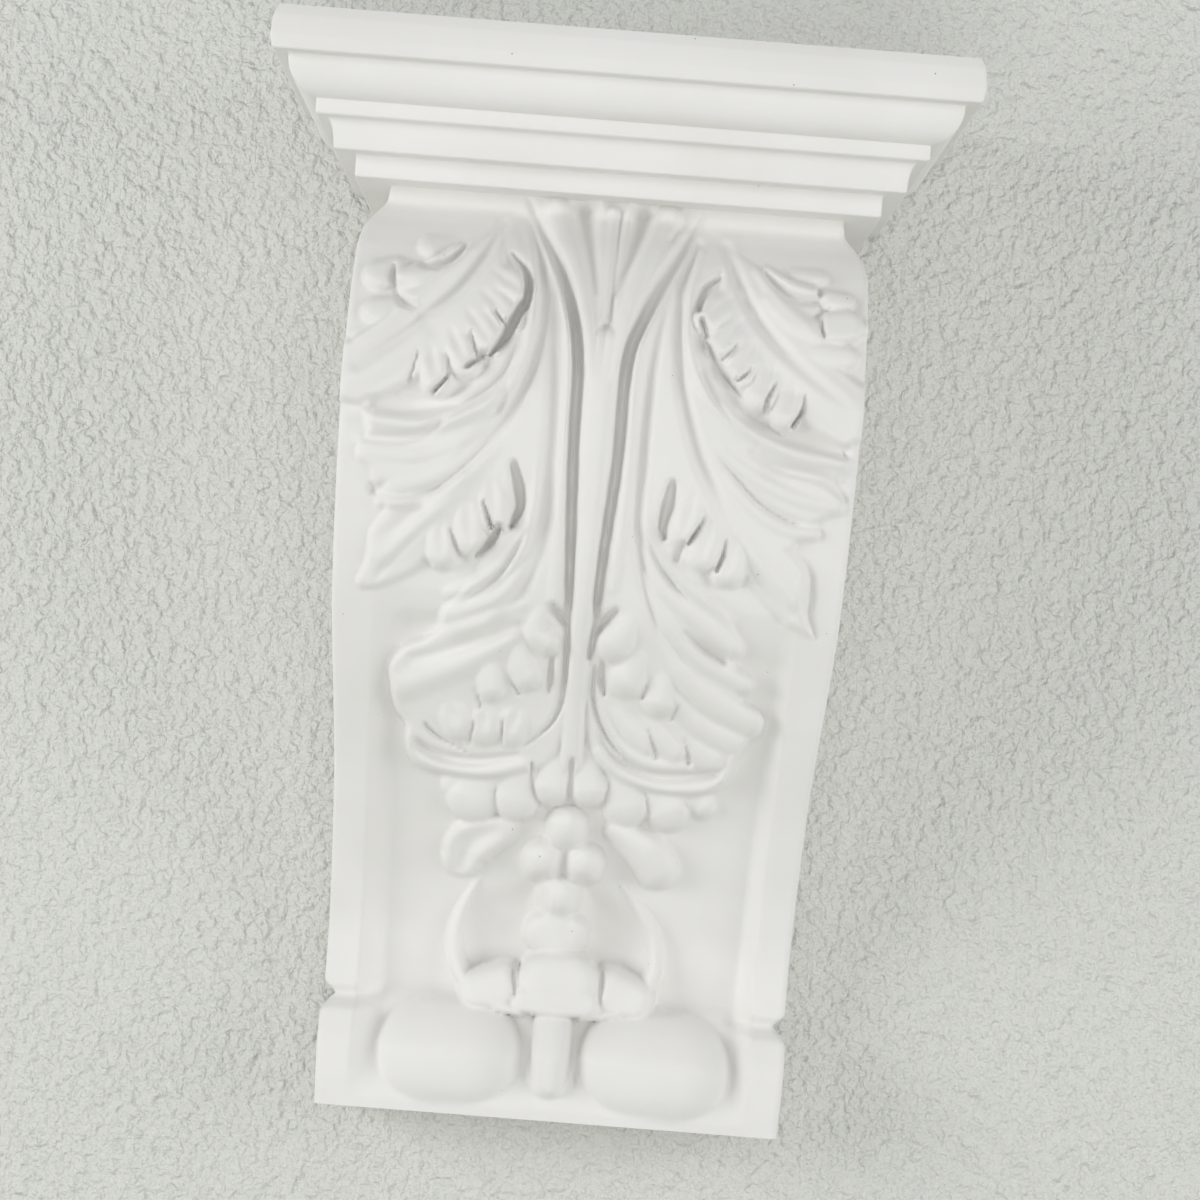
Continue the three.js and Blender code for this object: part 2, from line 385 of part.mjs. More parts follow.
// Heart-shaped strap round a hollow, with the flower that closes it.
hollow(LEFT, [[4, 72], [16, 70], [25, 67], [29, 59], [30, 50], [29, 42], [24, 36], [14, 33], [3, 33]],
    [-11, -7], 9);
hollow(RIGHT, [[3, 72], [12, 71], [19, 67], [25, 60], [28, 52], [28, 44], [24, 37], [14, 33], [3, 33]],
    [-11, -7], 9);
lobe(LEFT, [[25.4, 69], [29.4, 60], [31, 51], [29.8, 43], [25.6, 37], [18, 33], [8, 31.6]], [1.2, 2.4,
    2.8, 2.8, 3, 3, 3], [-5, -3.4, -2.4, -1.4, 0, 1, 1.6], -12);
lobe(RIGHT, [[17, 70.6], [23.2, 63.6], [27.8, 55], [28.8, 46.4], [26.4, 38.8], [20, 33.6], [8, 31.6]],
    [1.2, 2.2, 2.6, 2.8, 3, 3, 3], [-5, -3.4, -2.4, -1.4, 0, 1, 1.6], -12);
lobe(MID, [[-4, 54.6], [1.6, 54.6]], 6.6, -0.4, -12, 2.6);
lobe(MID, [[-1, 60], [-1, 50]], 3.4, -3, -12);
lobe(MID, [[-33, 16.2], [-26, 16.2]], 16.6, 3.4, -9, 2.1, 1);
lobe(MID, [[25.4, 17.2], [33, 16.8]], 17, 3.4, -9, 2.1, 1);
lobe(MID, [[0, 32], [0, 18], [0, 11]], [5.8, 5.8, 5.4], [0, 2.2, 1.8], -6);
cut(MID, [[-7.9, 32], [-7.3, 22], [-7.1, 11]], [2, 1.9, 1.1], [-6, -7, -4], 4, 0.6);
cut(MID, [[6.3, 32], [7.1, 21], [8, 10]], [2, 1.9, 1.1], [-6, -7, -4], 4, 0.6);
lobe(MID, [[-16, 38], [-23.6, 36.6]], [7.2, 5.8], 3.4, -8, 2.6);
lobe(MID, [[16.4, 38.6], [24, 37]], [7.4, 6], 3.4, -8, 2.6);
lobe(MID, [[-2.4, 39.8], [4, 39.8]], 9.6, 5, -8, 3.2);
lobe(MID, [[-9, 35], [0, 34.4], [10, 35]], 4.6, 4.6, -6, 2.6);
cut(MID, [[-13.8, 45.4], [-11.8, 35]], [1.8, 0.8], [-3, 1.6]);
cut(MID, [[13.6, 45.4], [13.4, 34]], [1.8, 0.8], [-3, 1.6]);

// Deep grooves on both sides of the stem.
cut(LEFT, [[25, 264], [18.6, 251.6], [12.8, 239.4], [9, 227], [7.2, 215], [6.9, 200], [6.5, 188],
    [5.7, 172], [4.9, 156], [4.5, 143], [4.2, 131]], [3, 2.6, 2.2, 2, 2, 2, 2, 1.9, 1.6, 1.2, 1.1], [-1,
    -2.6, -4, -5, -5, -5, -5, -5, -5, -4, -3.5], 5);
cut(LEFT, [[4.2, 131], [5, 122.6], [8, 116.4], [14.6, 110.2]], [1.1, 1.1, 1.1, 0.7], [-3.5, -2.6,
    -2, -0.5], 5);
cut(RIGHT, [[24.4, 264], [18.6, 250], [13, 238], [9.2, 228.4], [6.6, 220.4], [5.7, 210], [5.7, 197],
    [5.3, 186], [4.2, 172], [3.4, 160], [3, 152]], [3.6, 3.8, 3.2, 2.4, 2.2, 2.1, 2.1, 2, 1.9,
    1.7, 1.6], [-0.6, -2.6, -3.8, -5, -5, -5, -5, -5, -5, -5, -5], 5);
cut(RIGHT, [[3, 152], [3.2, 145.6], [2.2, 137]], [1.6, 1.3, 1], [-4.5, -4, -3]);
cut(RIGHT, [[3.8, 134], [4, 126], [6.6, 118.6], [11.6, 111.6], [19, 106.4]], [0.9, 1.1, 1, 1, 0.6], [-2.4,
    -2.6, -2, -1, 0.4]);

// Eyes and pockets between the lobes, left.
cut(LEFT, [[28, 246], [23.8, 241.4], [22.2, 235.4], [22.8, 230]], [1.2, 2.1, 1.9, 1.6], [-1, -3.6,
    -4.6, -4.6], 5, 0.6);
cut(LEFT, [[23.4, 231], [25.6, 225.4], [28, 220.2], [31.6, 215.4]], [1.6, 2.6, 2.1, 0.9], [-4.6, -5.4,
    -4.6, -1.4], 5, 0.6);
cut(LEFT, [[33, 215.8], [37, 212.2]], [1.3, 1], [-2, -1.4]);
cut(LEFT, [[59.6, 239], [58.8, 233], [55.4, 228.8], [50, 226.6]], [1, 1.7, 2, 1.2], [0.4, -0.6, 0, 1.8],
    6, 0.6);
cut(LEFT, [[54.6, 242.2], [49.8, 240], [44.6, 242], [40.6, 247.6], [39.4, 252.6]], [1.3, 1.9, 1.9,
    1.5, 1], [-0.4, -1, -0.6, 0.4, 1], 6, 0.6);
cut(LEFT, [[22.4, 187], [20.6, 181.4], [19.9, 176], [22, 170.4]], [1.9, 1.8, 1.7, 1.4], [-3, -4.4,
    -4.4, -3.4], 5, 0.5);
cut(LEFT, [[25.2, 169.8], [27.6, 165.6], [31.4, 161.8]], [1.4, 1.9, 1], [-3.4, -4, -1.6], 5, 0.5);
cut(LEFT, [[43.4, 158.4], [48.8, 154.4]], [1.3, 0.9], [-0.6, 1]);
cut(LEFT, [[9.2, 149.6], [7, 148], [4.8, 145.4]], [1.9, 2, 1.4], [-2, -3.6, -4.4], 5, 0.5);
cut(LEFT, [[8.4, 135.8], [8.3, 131], [8.6, 126.4]], [1.1, 1.4, 0.9], [-2.6, -3.4, -1.6]);
cut(LEFT, [[43, 114.2], [38.4, 110.8], [31, 107.6]], [1, 1, 0.8], [-2, -2.2, -1]);
flute(LEFT, [[45, 108.6], [38, 105.4], [28, 104.8], [16, 107.4]], [2, 2.4, 2.2, 1.2], [-2.4, -2.6,
    -2.2, -0.8]);
flute(LEFT, [[47, 141.4], [40, 141]], [4.4, 4], [-3, -2.6]);

// Eyes and pockets, right.
cut(RIGHT, [[30, 243.4], [25.8, 239.6], [24.4, 233]], [1.5, 1.9, 1], [-1.6, -3, -2.2], 5, 0.5);
cut(RIGHT, [[25.2, 230.4], [27, 226]], [0.8, 1.3], [-1.4, -3]);
cut(RIGHT, [[27.6, 223.6], [30.2, 218.4], [33, 215], [37.4, 210.2]], [0.9, 1.2, 1.4, 1], [-1.6, -2.4,
    -3.2, -1.8], 5, 0.5);
cut(RIGHT, [[41.6, 246.6], [46, 241.6], [50.6, 238.6], [57.6, 238]], [1.4, 2.2, 2.2, 1.5], [1.2, 0.4,
    -0.2, -0.8], 6, 0.6);
cut(RIGHT, [[57.2, 244.4], [57, 240]], [1.5, 1.9], [-0.4, -1]);
cut(RIGHT, [[57.9, 235], [57.9, 231], [58.6, 227.4]], [0.7, 1, 1.1], [1.6, 0.4, 0.2]);
cut(RIGHT, [[59, 227.2], [67, 227.2]], 0.7, 2.2);
cut(RIGHT, [[20.8, 185], [20.2, 179.6], [19.3, 174.4], [20, 170.6]], [1.7, 2.7, 1.9, 1], [-3, -4.4,
    -3.4, -1.8], 5, 0.5);
cut(RIGHT, [[24.8, 168.8], [23.6, 165.6]], [1.3, 1.9], [-0.6, -1.2]);
cut(RIGHT, [[53, 169.6], [57.6, 168.4], [60.8, 164.4], [61.8, 158.6], [61.8, 153], [64.4, 146.6]], [0.6,
    1.4, 1.8, 2.2, 2, 1.4], [1, -0.6, -1.4, -1.8, -1.8, -0.8], 4, 0.5);
cut(RIGHT, [[8.4, 150], [6, 147.8], [3.8, 144.4]], [1.6, 2.1, 1.4], [-2.2, -3.6, -4], 5, 0.5);
cut(RIGHT, [[5.8, 135.2], [6, 131], [7.2, 126.8]], [1.3, 1.8, 1.1], [-2.6, -3.6, -1.6]);
cut(RIGHT, [[31.8, 113.6], [32.8, 109.2]], [0.8, 1.5], [0.4, -1]);
flute(RIGHT, [[41, 106.4], [32, 104.8], [22, 104.8], [12, 108.4], [7, 114.4]], [1.6, 2.2, 2, 1.6, 1],
    [-2, -2.4, -2, -1.4, -0.6]);

// Slits between the drops.
cut(MID, [[-22.4, 98.4], [-21.8, 94], [-21.6, 90.4]], [0.7, 1.2, 1.1], -3, 2);
cut(MID, [[-12, 105.4], [-11.4, 99], [-9.6, 94]], [0.7, 1.2, 1.1], -3, 2);
cut(MID, [[-0.5, 107], [-0.5, 97]], [1, 1.1], -3, 3);
cut(MID, [[11, 102.4], [9.6, 93.8]], [0.8, 1.1], -3, 2);
cut(MID, [[21.4, 99.4], [22.4, 95], [23.6, 90.8]], [0.7, 1.2, 1.1], -3, 2);
cut(MID, [[32.6, 97.4], [34.6, 94.8], [35.6, 89.4]], [0.7, 1.2, 1.1], -3, 2);

// Poured plaster has no knife-sharp edges.
for (let pass = 0; pass < SOFTEN_PASSES; pass++) {
  const before = relief.slice();
  for (let row = 1; row < rows - 1; row++) {
    for (let i = row * columns + 1; i < (row + 1) * columns - 1; i++) {
      const around = (before[i - 1] + before[i + 1] + before[i - columns] + before[i + columns]) / 4;
      relief[i] += (around - before[i]) * SOFTEN;
    }
  }
}
const depth = relief.map((over, i) => along(PROFILE, gridZ[i]) + over);

// Covers the grid with triangles: it starts from two, and each time puts a corner where the flat
// triangles are farthest from the face, turning edges so that the triangles stay well shaped.
function cover(limit) {
  const points = [];
  const corners = [];
  const twin = [];
  const missed = [];
  const worstAt = [];
  const changed = new Set();
  const turn = (a, b, c) => (b[0] - a[0]) * (c[1] - a[1]) - (b[1] - a[1]) * (c[0] - a[0]);
  const depthAt = ([column, row]) => depth[row * columns + column];

  function addPoint(column, row) {
    return points.push([column, row]) - 1;
  }

  // Sets a triangle and links each of its edges with the edge that lies against it, or -1 at the border.
  function setTriangle(abc, edges, e = corners.length) {
    abc.forEach((p, k) => {
      corners[e + k] = p;
      twin[e + k] = edges[k];
      if (edges[k] >= 0) twin[edges[k]] = e + k;
    });
    changed.add(e / 3);
    return e;
  }

  // How badly a flat triangle misses the face under it, and the grid point that it misses by most.
  function measure(t) {
    const [a, b, c] = [0, 1, 2].map((k) => points[corners[3 * t + k]]);
    const area = turn(a, b, c);
    const [za, zb, zc] = [a, b, c].map(depthAt);
    const low = [0, 1].map((k) => Math.min(a[k], b[k], c[k]));
    const high = [0, 1].map((k) => Math.max(a[k], b[k], c[k]));
    missed[t] = 0;
    let most = 0;
    for (let row = low[1]; row <= high[1]; row++) {
      for (let column = low[0]; column <= high[0]; column++) {
        const p = [column, row];
        const wa = turn(b, c, p) / area;
        const wb = turn(c, a, p) / area;
        const wc = 1 - wa - wb;
        if (wa < -1e-9 || wb < -1e-9 || wc < -1e-9) continue;
        const miss = Math.abs(wa * za + wb * zb + wc * zc - depthAt(p));
        missed[t] += miss * miss;
        if (miss > most) [most, worstAt[t]] = [miss, p];
      }
    }
  }

  // Whether d lies in the circle through a, b and c.
  function inCircle(a, b, c, d) {
    const [ax, ay] = [a[0] - d[0], a[1] - d[1]];
    const [bx, by] = [b[0] - d[0], b[1] - d[1]];
    const [cx, cy] = [c[0] - d[0], c[1] - d[1]];
    const [aa, bb, cc] = [ax * ax + ay * ay, bx * bx + by * by, cx * cx + cy * cy];
    return ax * (by * cc - bb * cy) - ay * (bx * cc - bb * cx) + aa * (bx * cy - by * cx) > 1e-9;
  }

  // Turns the edge between two triangles where that gives better shaped ones, and goes on outwards.
  function improve(a) {
    const b = twin[a];
    if (b < 0) return;
    const [a0, b0] = [a - (a % 3), b - (b % 3)];
    const [al, ar] = [a0 + ((a + 1) % 3), a0 + ((a + 2) % 3)];
    const [bl, br] = [b0 + ((b + 2) % 3), b0 + ((b + 1) % 3)];
    const [p0, pr, pl, p1] = [corners[ar], corners[a], corners[al], corners[bl]];
    if (!inCircle(points[p0], points[pr], points[pl], points[p1])) return;
    const [hal, har, hbl, hbr] = [twin[al], twin[ar], twin[bl], twin[br]];
    setTriangle([p0, p1, pl], [-1, hbl, hal], a0);
    setTriangle([p1, p0, pr], [a0, har, hbr], b0);
    improve(a0 + 1);
    improve(b0 + 2);
  }

  // Puts a new corner on an edge, which splits the triangle on each side of it.
  function splitEdge(p, a) {
    const b = twin[a];
    const a0 = a - (a % 3);
    const [al, ar] = [a0 + ((a + 1) % 3), a0 + ((a + 2) % 3)];
    const [p0, pr, pl] = [corners[ar], corners[a], corners[al]];
    const [hal, har] = [twin[al], twin[ar]];
    if (b < 0) {
      setTriangle([p, p0, pr], [-1, har, -1], a0);
      const t1 = setTriangle([p0, p, pl], [a0, -1, hal]);
      improve(a0 + 1);
      improve(t1 + 2);
      return;
    }
    const b0 = b - (b % 3);
    const [bl, br] = [b0 + ((b + 2) % 3), b0 + ((b + 1) % 3)];
    const p1 = corners[bl];
    const [hbl, hbr] = [twin[bl], twin[br]];
    setTriangle([p0, pr, p], [har, -1, -1], a0);
    setTriangle([pr, p1, p], [hbr, -1, a0 + 1], b0);
    const t2 = setTriangle([p1, pl, p], [hbl, -1, b0 + 1]);
    const t3 = setTriangle([pl, p0, p], [hal, a0 + 2, t2 + 1]);
    [a0, b0, t2, t3].forEach(improve);
  }

  function split(t) {
    const e = 3 * t;
    const [p0, p1, p2] = [corners[e], corners[e + 1], corners[e + 2]];
    const at = worstAt[t];
    const p = addPoint(...at);
    for (let k = 0; k < 3; k++) {
      if (turn(points[corners[e + k]], points[corners[e + ((k + 1) % 3)]], at) === 0) {
        splitEdge(p, e + k);
        return;
      }
    }
    const [h0, h1, h2] = [twin[e], twin[e + 1], twin[e + 2]];
    setTriangle([p0, p1, p], [h0, -1, -1], e);
    const t1 = setTriangle([p1, p2, p], [h1, -1, e + 1]);
    const t2 = setTriangle([p2, p0, p], [h2, e + 2, t1 + 1]);
    [e, t1, t2].forEach(improve);
  }

  const [p0, p1, p2, p3] = [[0, 0], [ACROSS, 0], [0, UP], [ACROSS, UP]].map((at) => addPoint(...at));
  const first = setTriangle([p3, p2, p0], [-1, -1, -1]);
  setTriangle([p0, p1, p3], [-1, -1, first + 2]);
  while (corners.length / 3 < limit) {
    changed.forEach(measure);
    changed.clear();
    let t = 0;
    for (let k = 1; k < missed.length; k++) if (missed[k] > missed[t]) t = k;
    split(t);
  }
  return { points, corners, twin };
}

function solidOf(vertices, triangles) {
  return new wasm.Manifold(new wasm.Mesh({
    numProp: 3,
    vertProperties: new Float32Array(vertices.flat()),
    triVerts: new Uint32Array(triangles.flat()),
  }));
}

// The body: the front's triangles, flat sides down to the wall from the front's border, and the back.
function body() {
  const { points, corners, twin } = cover(FRONT_TRIANGLES);
  const vertices = points.map(([column, row]) => {
    const i = row * columns + column;
    return [gridX[i], -depth[i], gridZ[i] - HEIGHT / 2];
  });
  const triangles = [];
  for (let e = 0; e < corners.length; e += 3) triangles.push(corners.slice(e, e + 3));
  // The border in order: each border edge leads to the next one.
  const next = new Map();
  twin.forEach((other, e) => {
    if (other < 0) next.set(corners[e], corners[e - (e % 3) + ((e + 1) % 3)]);
  });
  const border = [0];
  while (next.get(border.at(-1)) !== 0) border.push(next.get(border.at(-1)));
  const back = border.map((v) => vertices.push([vertices[v][0], 0, vertices[v][2]]) - 1);
  border.forEach((v, k) => {
    const after = (k + 1) % border.length;
    triangles.push([v, back[k], back[after]], [v, back[after], border[after]]);
  });
  const outline = back.map((v) => new THREE.Vector2(vertices[v][0], vertices[v][2]));
  for (const face of THREE.ShapeUtils.triangulateShape(outline, [])) {
    const [a, b, c] = face.map((k) => back[k]);
    const [pa, pb, pc] = [a, b, c].map((v) => vertices[v]);
    const facing = (pb[0] - pa[0]) * (pc[2] - pa[2]) - (pb[2] - pa[2]) * (pc[0] - pa[0]);
    triangles.push(facing > 0 ? [a, c, b] : [a, b, c]);
  }
  return solidOf(vertices, triangles);
}

// A quarter curve of a moulding between two corners: a cavetto where it is hollow, else an ovolo.
function arc([w0, z0], [w1, z1], hollowOut, steps) {
  const turns = Array.from({ length: steps + 1 }, (_, k) => (Math.PI / 2) * (k / steps));
  return turns.map((a) => hollowOut
    ? [w0 + (w1 - w0) * (1 - Math.cos(a)), z0 + (z1 - z0) * Math.sin(a)]
    : [w0 + (w1 - w0) * Math.sin(a), z0 + (z1 - z0) * (1 - Math.cos(a))]);
}

// The crown from its soffit up, as half width and height: fillets, a cavetto, an ovolo and a square cap.
// Its face stands as far out as its half width, less the backset.
const CROWN = [
  [63.4, 261], [64.2, 265], [73.5, 265.1], [73.5, 271.2],
  ...arc([79.4, 271.3], [81.6, 279.4], true, 4),
  [84.5, 279.6], [84.5, 283.7],
  ...arc([84.5, 283.8], [92.1, 292.8], false, 6),
  [92.1, 293.8], [96.2, 293.9], [96.9, 297.5], [96.4, 303], [95.2, HEIGHT],
];

function crown() {
  const vertices = [];
  const triangles = [];
  for (const [half, z] of CROWN) {
    const front = CROWN_BACKSET - half;
    for (const [x, y] of [[-half, 0], [-half, front], [half, front], [half, 0]]) {
      vertices.push([x, y, z - HEIGHT / 2]);
    }
  }
  for (let ring = 0; ring < CROWN.length - 1; ring++) {
    for (let k = 0; k < 4; k++) {
      const [a, b] = [4 * ring + k, 4 * ring + ((k + 1) % 4)];
      triangles.push([a, b, b + 4], [a, b + 4, a + 4]);
    }
  }
  const top = 4 * (CROWN.length - 1);
  triangles.push([0, 2, 1], [0, 3, 2], [top, top + 1, top + 2], [top, top + 2, top + 3]);
  return solidOf(vertices, triangles);
}

// The whole casting as one mesh.
function corbel() {
  const whole = body().add(crown()).getMesh();
  const geometry = new THREE.BufferGeometry();
  const stride = whole.numProp;
  const places = new Float32Array(whole.numVert * 3);
  for (let v = 0; v < whole.numVert; v++) {
    places.set(whole.vertProperties.subarray(v * stride, v * stride + 3), 3 * v);
  }
  geometry.setAttribute("position", new THREE.BufferAttribute(places, 3));
  geometry.setIndex(new THREE.BufferAttribute(whole.triVerts, 1));
  geometry.computeVertexNormals();
  const plaster = new THREE.MeshStandardMaterial({ color: 0xf1f0ec, roughness: 0.65, metalness: 0 });
  const mesh = new THREE.Mesh(geometry, plaster);
  mesh.name = "corbel";
  return mesh;
}

const part = new THREE.Group();
part.add(corbel());
export default part;
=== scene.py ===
import math

import bmesh
import bpy
import numpy as np
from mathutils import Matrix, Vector


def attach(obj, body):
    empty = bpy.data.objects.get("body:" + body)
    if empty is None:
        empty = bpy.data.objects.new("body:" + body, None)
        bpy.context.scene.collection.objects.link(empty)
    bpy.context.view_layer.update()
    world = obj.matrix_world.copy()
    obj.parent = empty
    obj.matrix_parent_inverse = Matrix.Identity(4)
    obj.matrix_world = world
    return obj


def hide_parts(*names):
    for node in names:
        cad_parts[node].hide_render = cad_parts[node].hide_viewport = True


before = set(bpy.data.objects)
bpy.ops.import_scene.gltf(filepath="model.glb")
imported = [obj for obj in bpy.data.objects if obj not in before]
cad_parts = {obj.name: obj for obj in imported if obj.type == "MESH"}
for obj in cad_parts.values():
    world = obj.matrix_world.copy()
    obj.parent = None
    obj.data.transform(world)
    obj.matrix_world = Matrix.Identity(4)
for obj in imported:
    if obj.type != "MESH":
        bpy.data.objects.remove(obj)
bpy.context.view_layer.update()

# The corbel: one block of white casting plaster, poured face down in a mould, so body, ornament and
# crown mouldings are one piece. Its back is flat and stands against the wall.

# Sizes of the corbel are in millimetres: across from the middle, up from the bottom edge, and out of the
# wall. LEFT mirrors a form, RIGHT and MID leave it as it is written.
HEIGHT = 306
LEFT, RIGHT, MID = -1, 1, 1

# Depth of the face out of the wall, by height.
PROFILE = [[0, 26], [10, 27.7], [18, 28], [27, 24.4], [36, 18.6], [48, 18.5], [65, 23.5], [80, 30.5],
           [95, 38.5], [110, 48], [124, 57.4], [138, 66.4], [152, 75], [170, 82], [188, 87], [206, 89],
           [222, 87.5], [234, 83], [245, 76], [251, 70], [256, 64], [261, 59.6], [265, 59.3]]
# Half width of the body, by height. The small notch is at the top of the foot blocks.
SIDES = [[0, 68.4], [27, 68.9], [31.5, 65.6], [36, 68.7], [95, 68.8], [152, 70.4], [245, 70.7],
         [251, 69.9], [256, 67.6], [261, 64.6], [265, 64.2]]
# How far the panel between the two side rails is sunk, by height.
PANEL = [[0, 0], [3, 0], [10, 3], [18, 6], [27, 9], [36, 9.4], [48, 7.6], [65, 6], [95, 5], [124, 4.4],
         [138, 3], [152, 0]]
# Each rail drops to the panel in a cove. The right one is narrower.
RAIL_INNER = 59
COVE_LEFT, COVE_RIGHT, COVE_POWER = 8.5, 5.5, 1.2
# The notch over each foot block runs out within the cove.
NOTCH_HEIGHT, NOTCH_HALF, NOTCH_DEPTH = 31.5, 3.2, 4.5
NOTCH_INNER, NOTCH_RUN = 50, 8


def along(table, heights):
    """A size from a table, at each height, on a smooth curve through the table's rows."""
    rows = np.array(table, float)
    z, v = rows[:, 0], rows[:, 1]
    slope = np.diff(v) / np.diff(z)
    bend = np.zeros(len(z))
    same = slope[:-1] * slope[1:] > 0
    bend[1:-1][same] = 2 * slope[:-1][same] * slope[1:][same] / (slope[:-1] + slope[1:])[same]
    bend[0], bend[-1] = slope[0], slope[-1]
    h = np.clip(heights, z[0], z[-1])
    i = np.clip(np.searchsorted(z, h) - 1, 0, len(z) - 2)
    step = z[i + 1] - z[i]
    t = (h - z[i]) / step
    return (v[i] * (1 + 2 * t) * (1 - t) ** 2 + step * bend[i] * t * (1 - t) ** 2
            + v[i + 1] * t * t * (3 - 2 * t) - step * bend[i + 1] * t * t * (1 - t))


# The face is a fine grid. Its columns run from the back edge of one side, round the front, to the other.
FRONT_COLUMNS, CORNER_COLUMNS, SIDE_COLUMNS = 226, 4, 8
BODY_ROWS = 345
CORNER_ROUND = 1.6
BODY_TOP = 265

row_z = BODY_TOP * np.linspace(0, 1, BODY_ROWS + 1)
half = along(SIDES, row_z)
column_u = np.linspace(-1, 1, FRONT_COLUMNS + 1)
X = column_u[None, :] * (half[:, None] - CORNER_ROUND)
Z = np.repeat(row_z[:, None], FRONT_COLUMNS + 1, axis=1)
relief = np.zeros_like(X)

# The sunk panel with its coved rails, and the notch over each foot block.
cove = np.where(X < 0, COVE_LEFT, COVE_RIGHT)
inside_rails = np.clip((RAIL_INNER - np.abs(X)) / cove, 0, 1)
relief -= np.interp(Z, *np.array(PANEL, float).T) * np.sin(inside_rails * np.pi / 2) ** COVE_POWER
notch = np.clip(1 - np.abs(Z - NOTCH_HEIGHT) / NOTCH_HALF, 0, 1)
relief -= NOTCH_DEPTH * notch * np.clip((np.abs(X) - NOTCH_INNER) / NOTCH_RUN, 0, 1)


def curve(points, steps):
    """A smooth line through the points."""
    p = np.array(points, float)
    t = np.linspace(0, len(p) - 1, steps)
    i = np.minimum(t.astype(int), len(p) - 2)
    w = (t - i)[:, None]
    a, b, c, d = p[np.maximum(i - 1, 0)], p[i], p[i + 1], p[np.minimum(i + 2, len(p) - 1)]
    start, end = (c - a) / 2, (d - b) / 2
    cubed, squared = 2 * b - 2 * c + start + end, 3 * c - 3 * b - 2 * start - end
    return cubed * w ** 3 + squared * w ** 2 + start * w + b


def spread(values, t):
    """A width or a level that changes evenly along a curve."""
    v = np.atleast_1d(np.array(values, float))
    return np.interp(t, np.linspace(0, 1, len(v)), v) if len(v) > 1 else np.full_like(t, v[0])


# Keeps a division by a segment's length safe where two of its points fall together.
NO_LENGTH = 1e-9


def beside(line, reach):
    """The grid points near a line, with their distance from it and how far along it they are, 0 to 1."""
    low, high = line.min(0) - reach, line.max(0) + reach
    near = np.nonzero((X > low[0]) & (X < high[0]) & (Z > low[1]) & (Z < high[1]))
    x, z = X[near][:, None], Z[near][:, None]
    a, ab = line[:-1], np.diff(line, axis=0)
    length_squared = (ab ** 2).sum(1) + NO_LENGTH
    s = np.clip(((x - a[:, 0]) * ab[:, 0] + (z - a[:, 1]) * ab[:, 1]) / length_squared, 0, 1)
    far = np.hypot(x - a[:, 0] - s * ab[:, 0], z - a[:, 1] - s * ab[:, 1])
    k = np.argmin(far, 1)
    each = np.arange(len(k))
    return near, far[each, k], (k + s[each, k]) / len(a)


# The relief's forms. Each takes a side, a spine or an outline as points across and up, and widths and
# levels that change evenly along it. A level is how far a form stands out from the face, or in from it
# where it is below zero.
SPINE_STEPS = 48


def reached(side, spine, width):
    """The grid points along a spine, their distance from it as a part of its width, and how far along."""
    near, far, t = beside(curve(spine, SPINE_STEPS) * [side, 1], np.max(width))
    return near, np.clip(far / spread(width, t), 0, 1), t


# Flutes are cut this much deeper, and ridges raised this much higher, than their heights say.
FLUTE_GAIN = 1.4


def flute(side, spine, width, height):
    """A soft ridge along a spine, or a soft channel where the height is below zero."""
    near, q, t = reached(side, spine, width)
    relief[near] += FLUTE_GAIN * spread(height, t) * (1 + np.cos(np.pi * q)) / 2


def rounded(side, spine, width, level, base, power, soft, way):
    """A form along a spine, from its base at the edge to its level in the middle, blended into the rest."""
    near, q, t = reached(side, spine, width)
    shape = base + (spread(level, t) - base) * (1 - q ** power) ** (1 / power)
    now = relief[near]
    mix = np.clip(.5 + .5 * way * (shape - now) / soft, 0, 1)
    relief[near] = np.where(q < 1, shape * mix + now * (1 - mix) + way * soft * mix * (1 - mix), now)


def lobe(side, spine, width, level, base=-5, power=2.2, soft=.35):
    """A full, rounded form along a spine, standing up to its level."""
    rounded(side, spine, width, level, base, power, soft, 1)


CUT_POWER = 1.5


def cut(side, spine, width, level, base=6, soft=.35):
    """A cut along a spine, down to its level, in section between a V and a half round."""
    rounded(side, spine, width, level, base, CUT_POWER, soft, -1)


STEPS_PER_POINT, OUTLINE_MARGIN = 7, .1


def within(side, outline):
    """The grid points round a smooth closed outline: their distance from it, which are in, how far up."""
    steps = STEPS_PER_POINT * (len(outline) + 2) + 1
    loop = curve([outline[-1]] + outline + outline[:2], steps)[STEPS_PER_POINT:-STEPS_PER_POINT] * [side, 1]
    near, far, _ = beside(loop, OUTLINE_MARGIN)
    x, z = X[near], Z[near]
    inner = np.zeros(len(x), bool)
    for (ax, az), (bx, bz) in zip(loop[:-1], loop[1:]):
        if az != bz:
            inner ^= ((az > z) != (bz > z)) & (x < ax + (z - az) / (bz - az) * (bx - ax))
    return near, far, inner, np.clip((z - loop[:, 1].min()) / np.ptp(loop[:, 1]), 0, 1)


LEAF_POWER = 2.2


def leaf(side, outline, level, edge, base):
    """A flat leaf with a rounded edge, its level given from its foot to its top."""
    near, far, inner, up = within(side, outline)
    q = 1 - np.clip(far / edge, 0, 1)
    shape = base + (spread(level, up) - base) * (1 - q ** LEAF_POWER) ** (1 / LEAF_POWER)
    relief[near] = np.where(inner, np.maximum(relief[near], shape), relief[near])


def hollow(side, outline, level, edge):
    """A dished hollow inside an outline."""
    near, far, inner, up = within(side, outline)
    dish = (1 - np.cos(np.pi * np.clip(far / edge, 0, 1))) / 2
    shape = relief[near] * (1 - dish) + spread(level, up) * dish
    relief[near] = np.where(inner, np.minimum(relief[near], shape), relief[near])


def bezier(line, t):
    """The point at t on the curve that starts and ends at the outer two of three points."""
    a, b, c = np.array(line, float)
    return (1 - t) ** 2 * a + 2 * (1 - t) * t * b + t * t * c


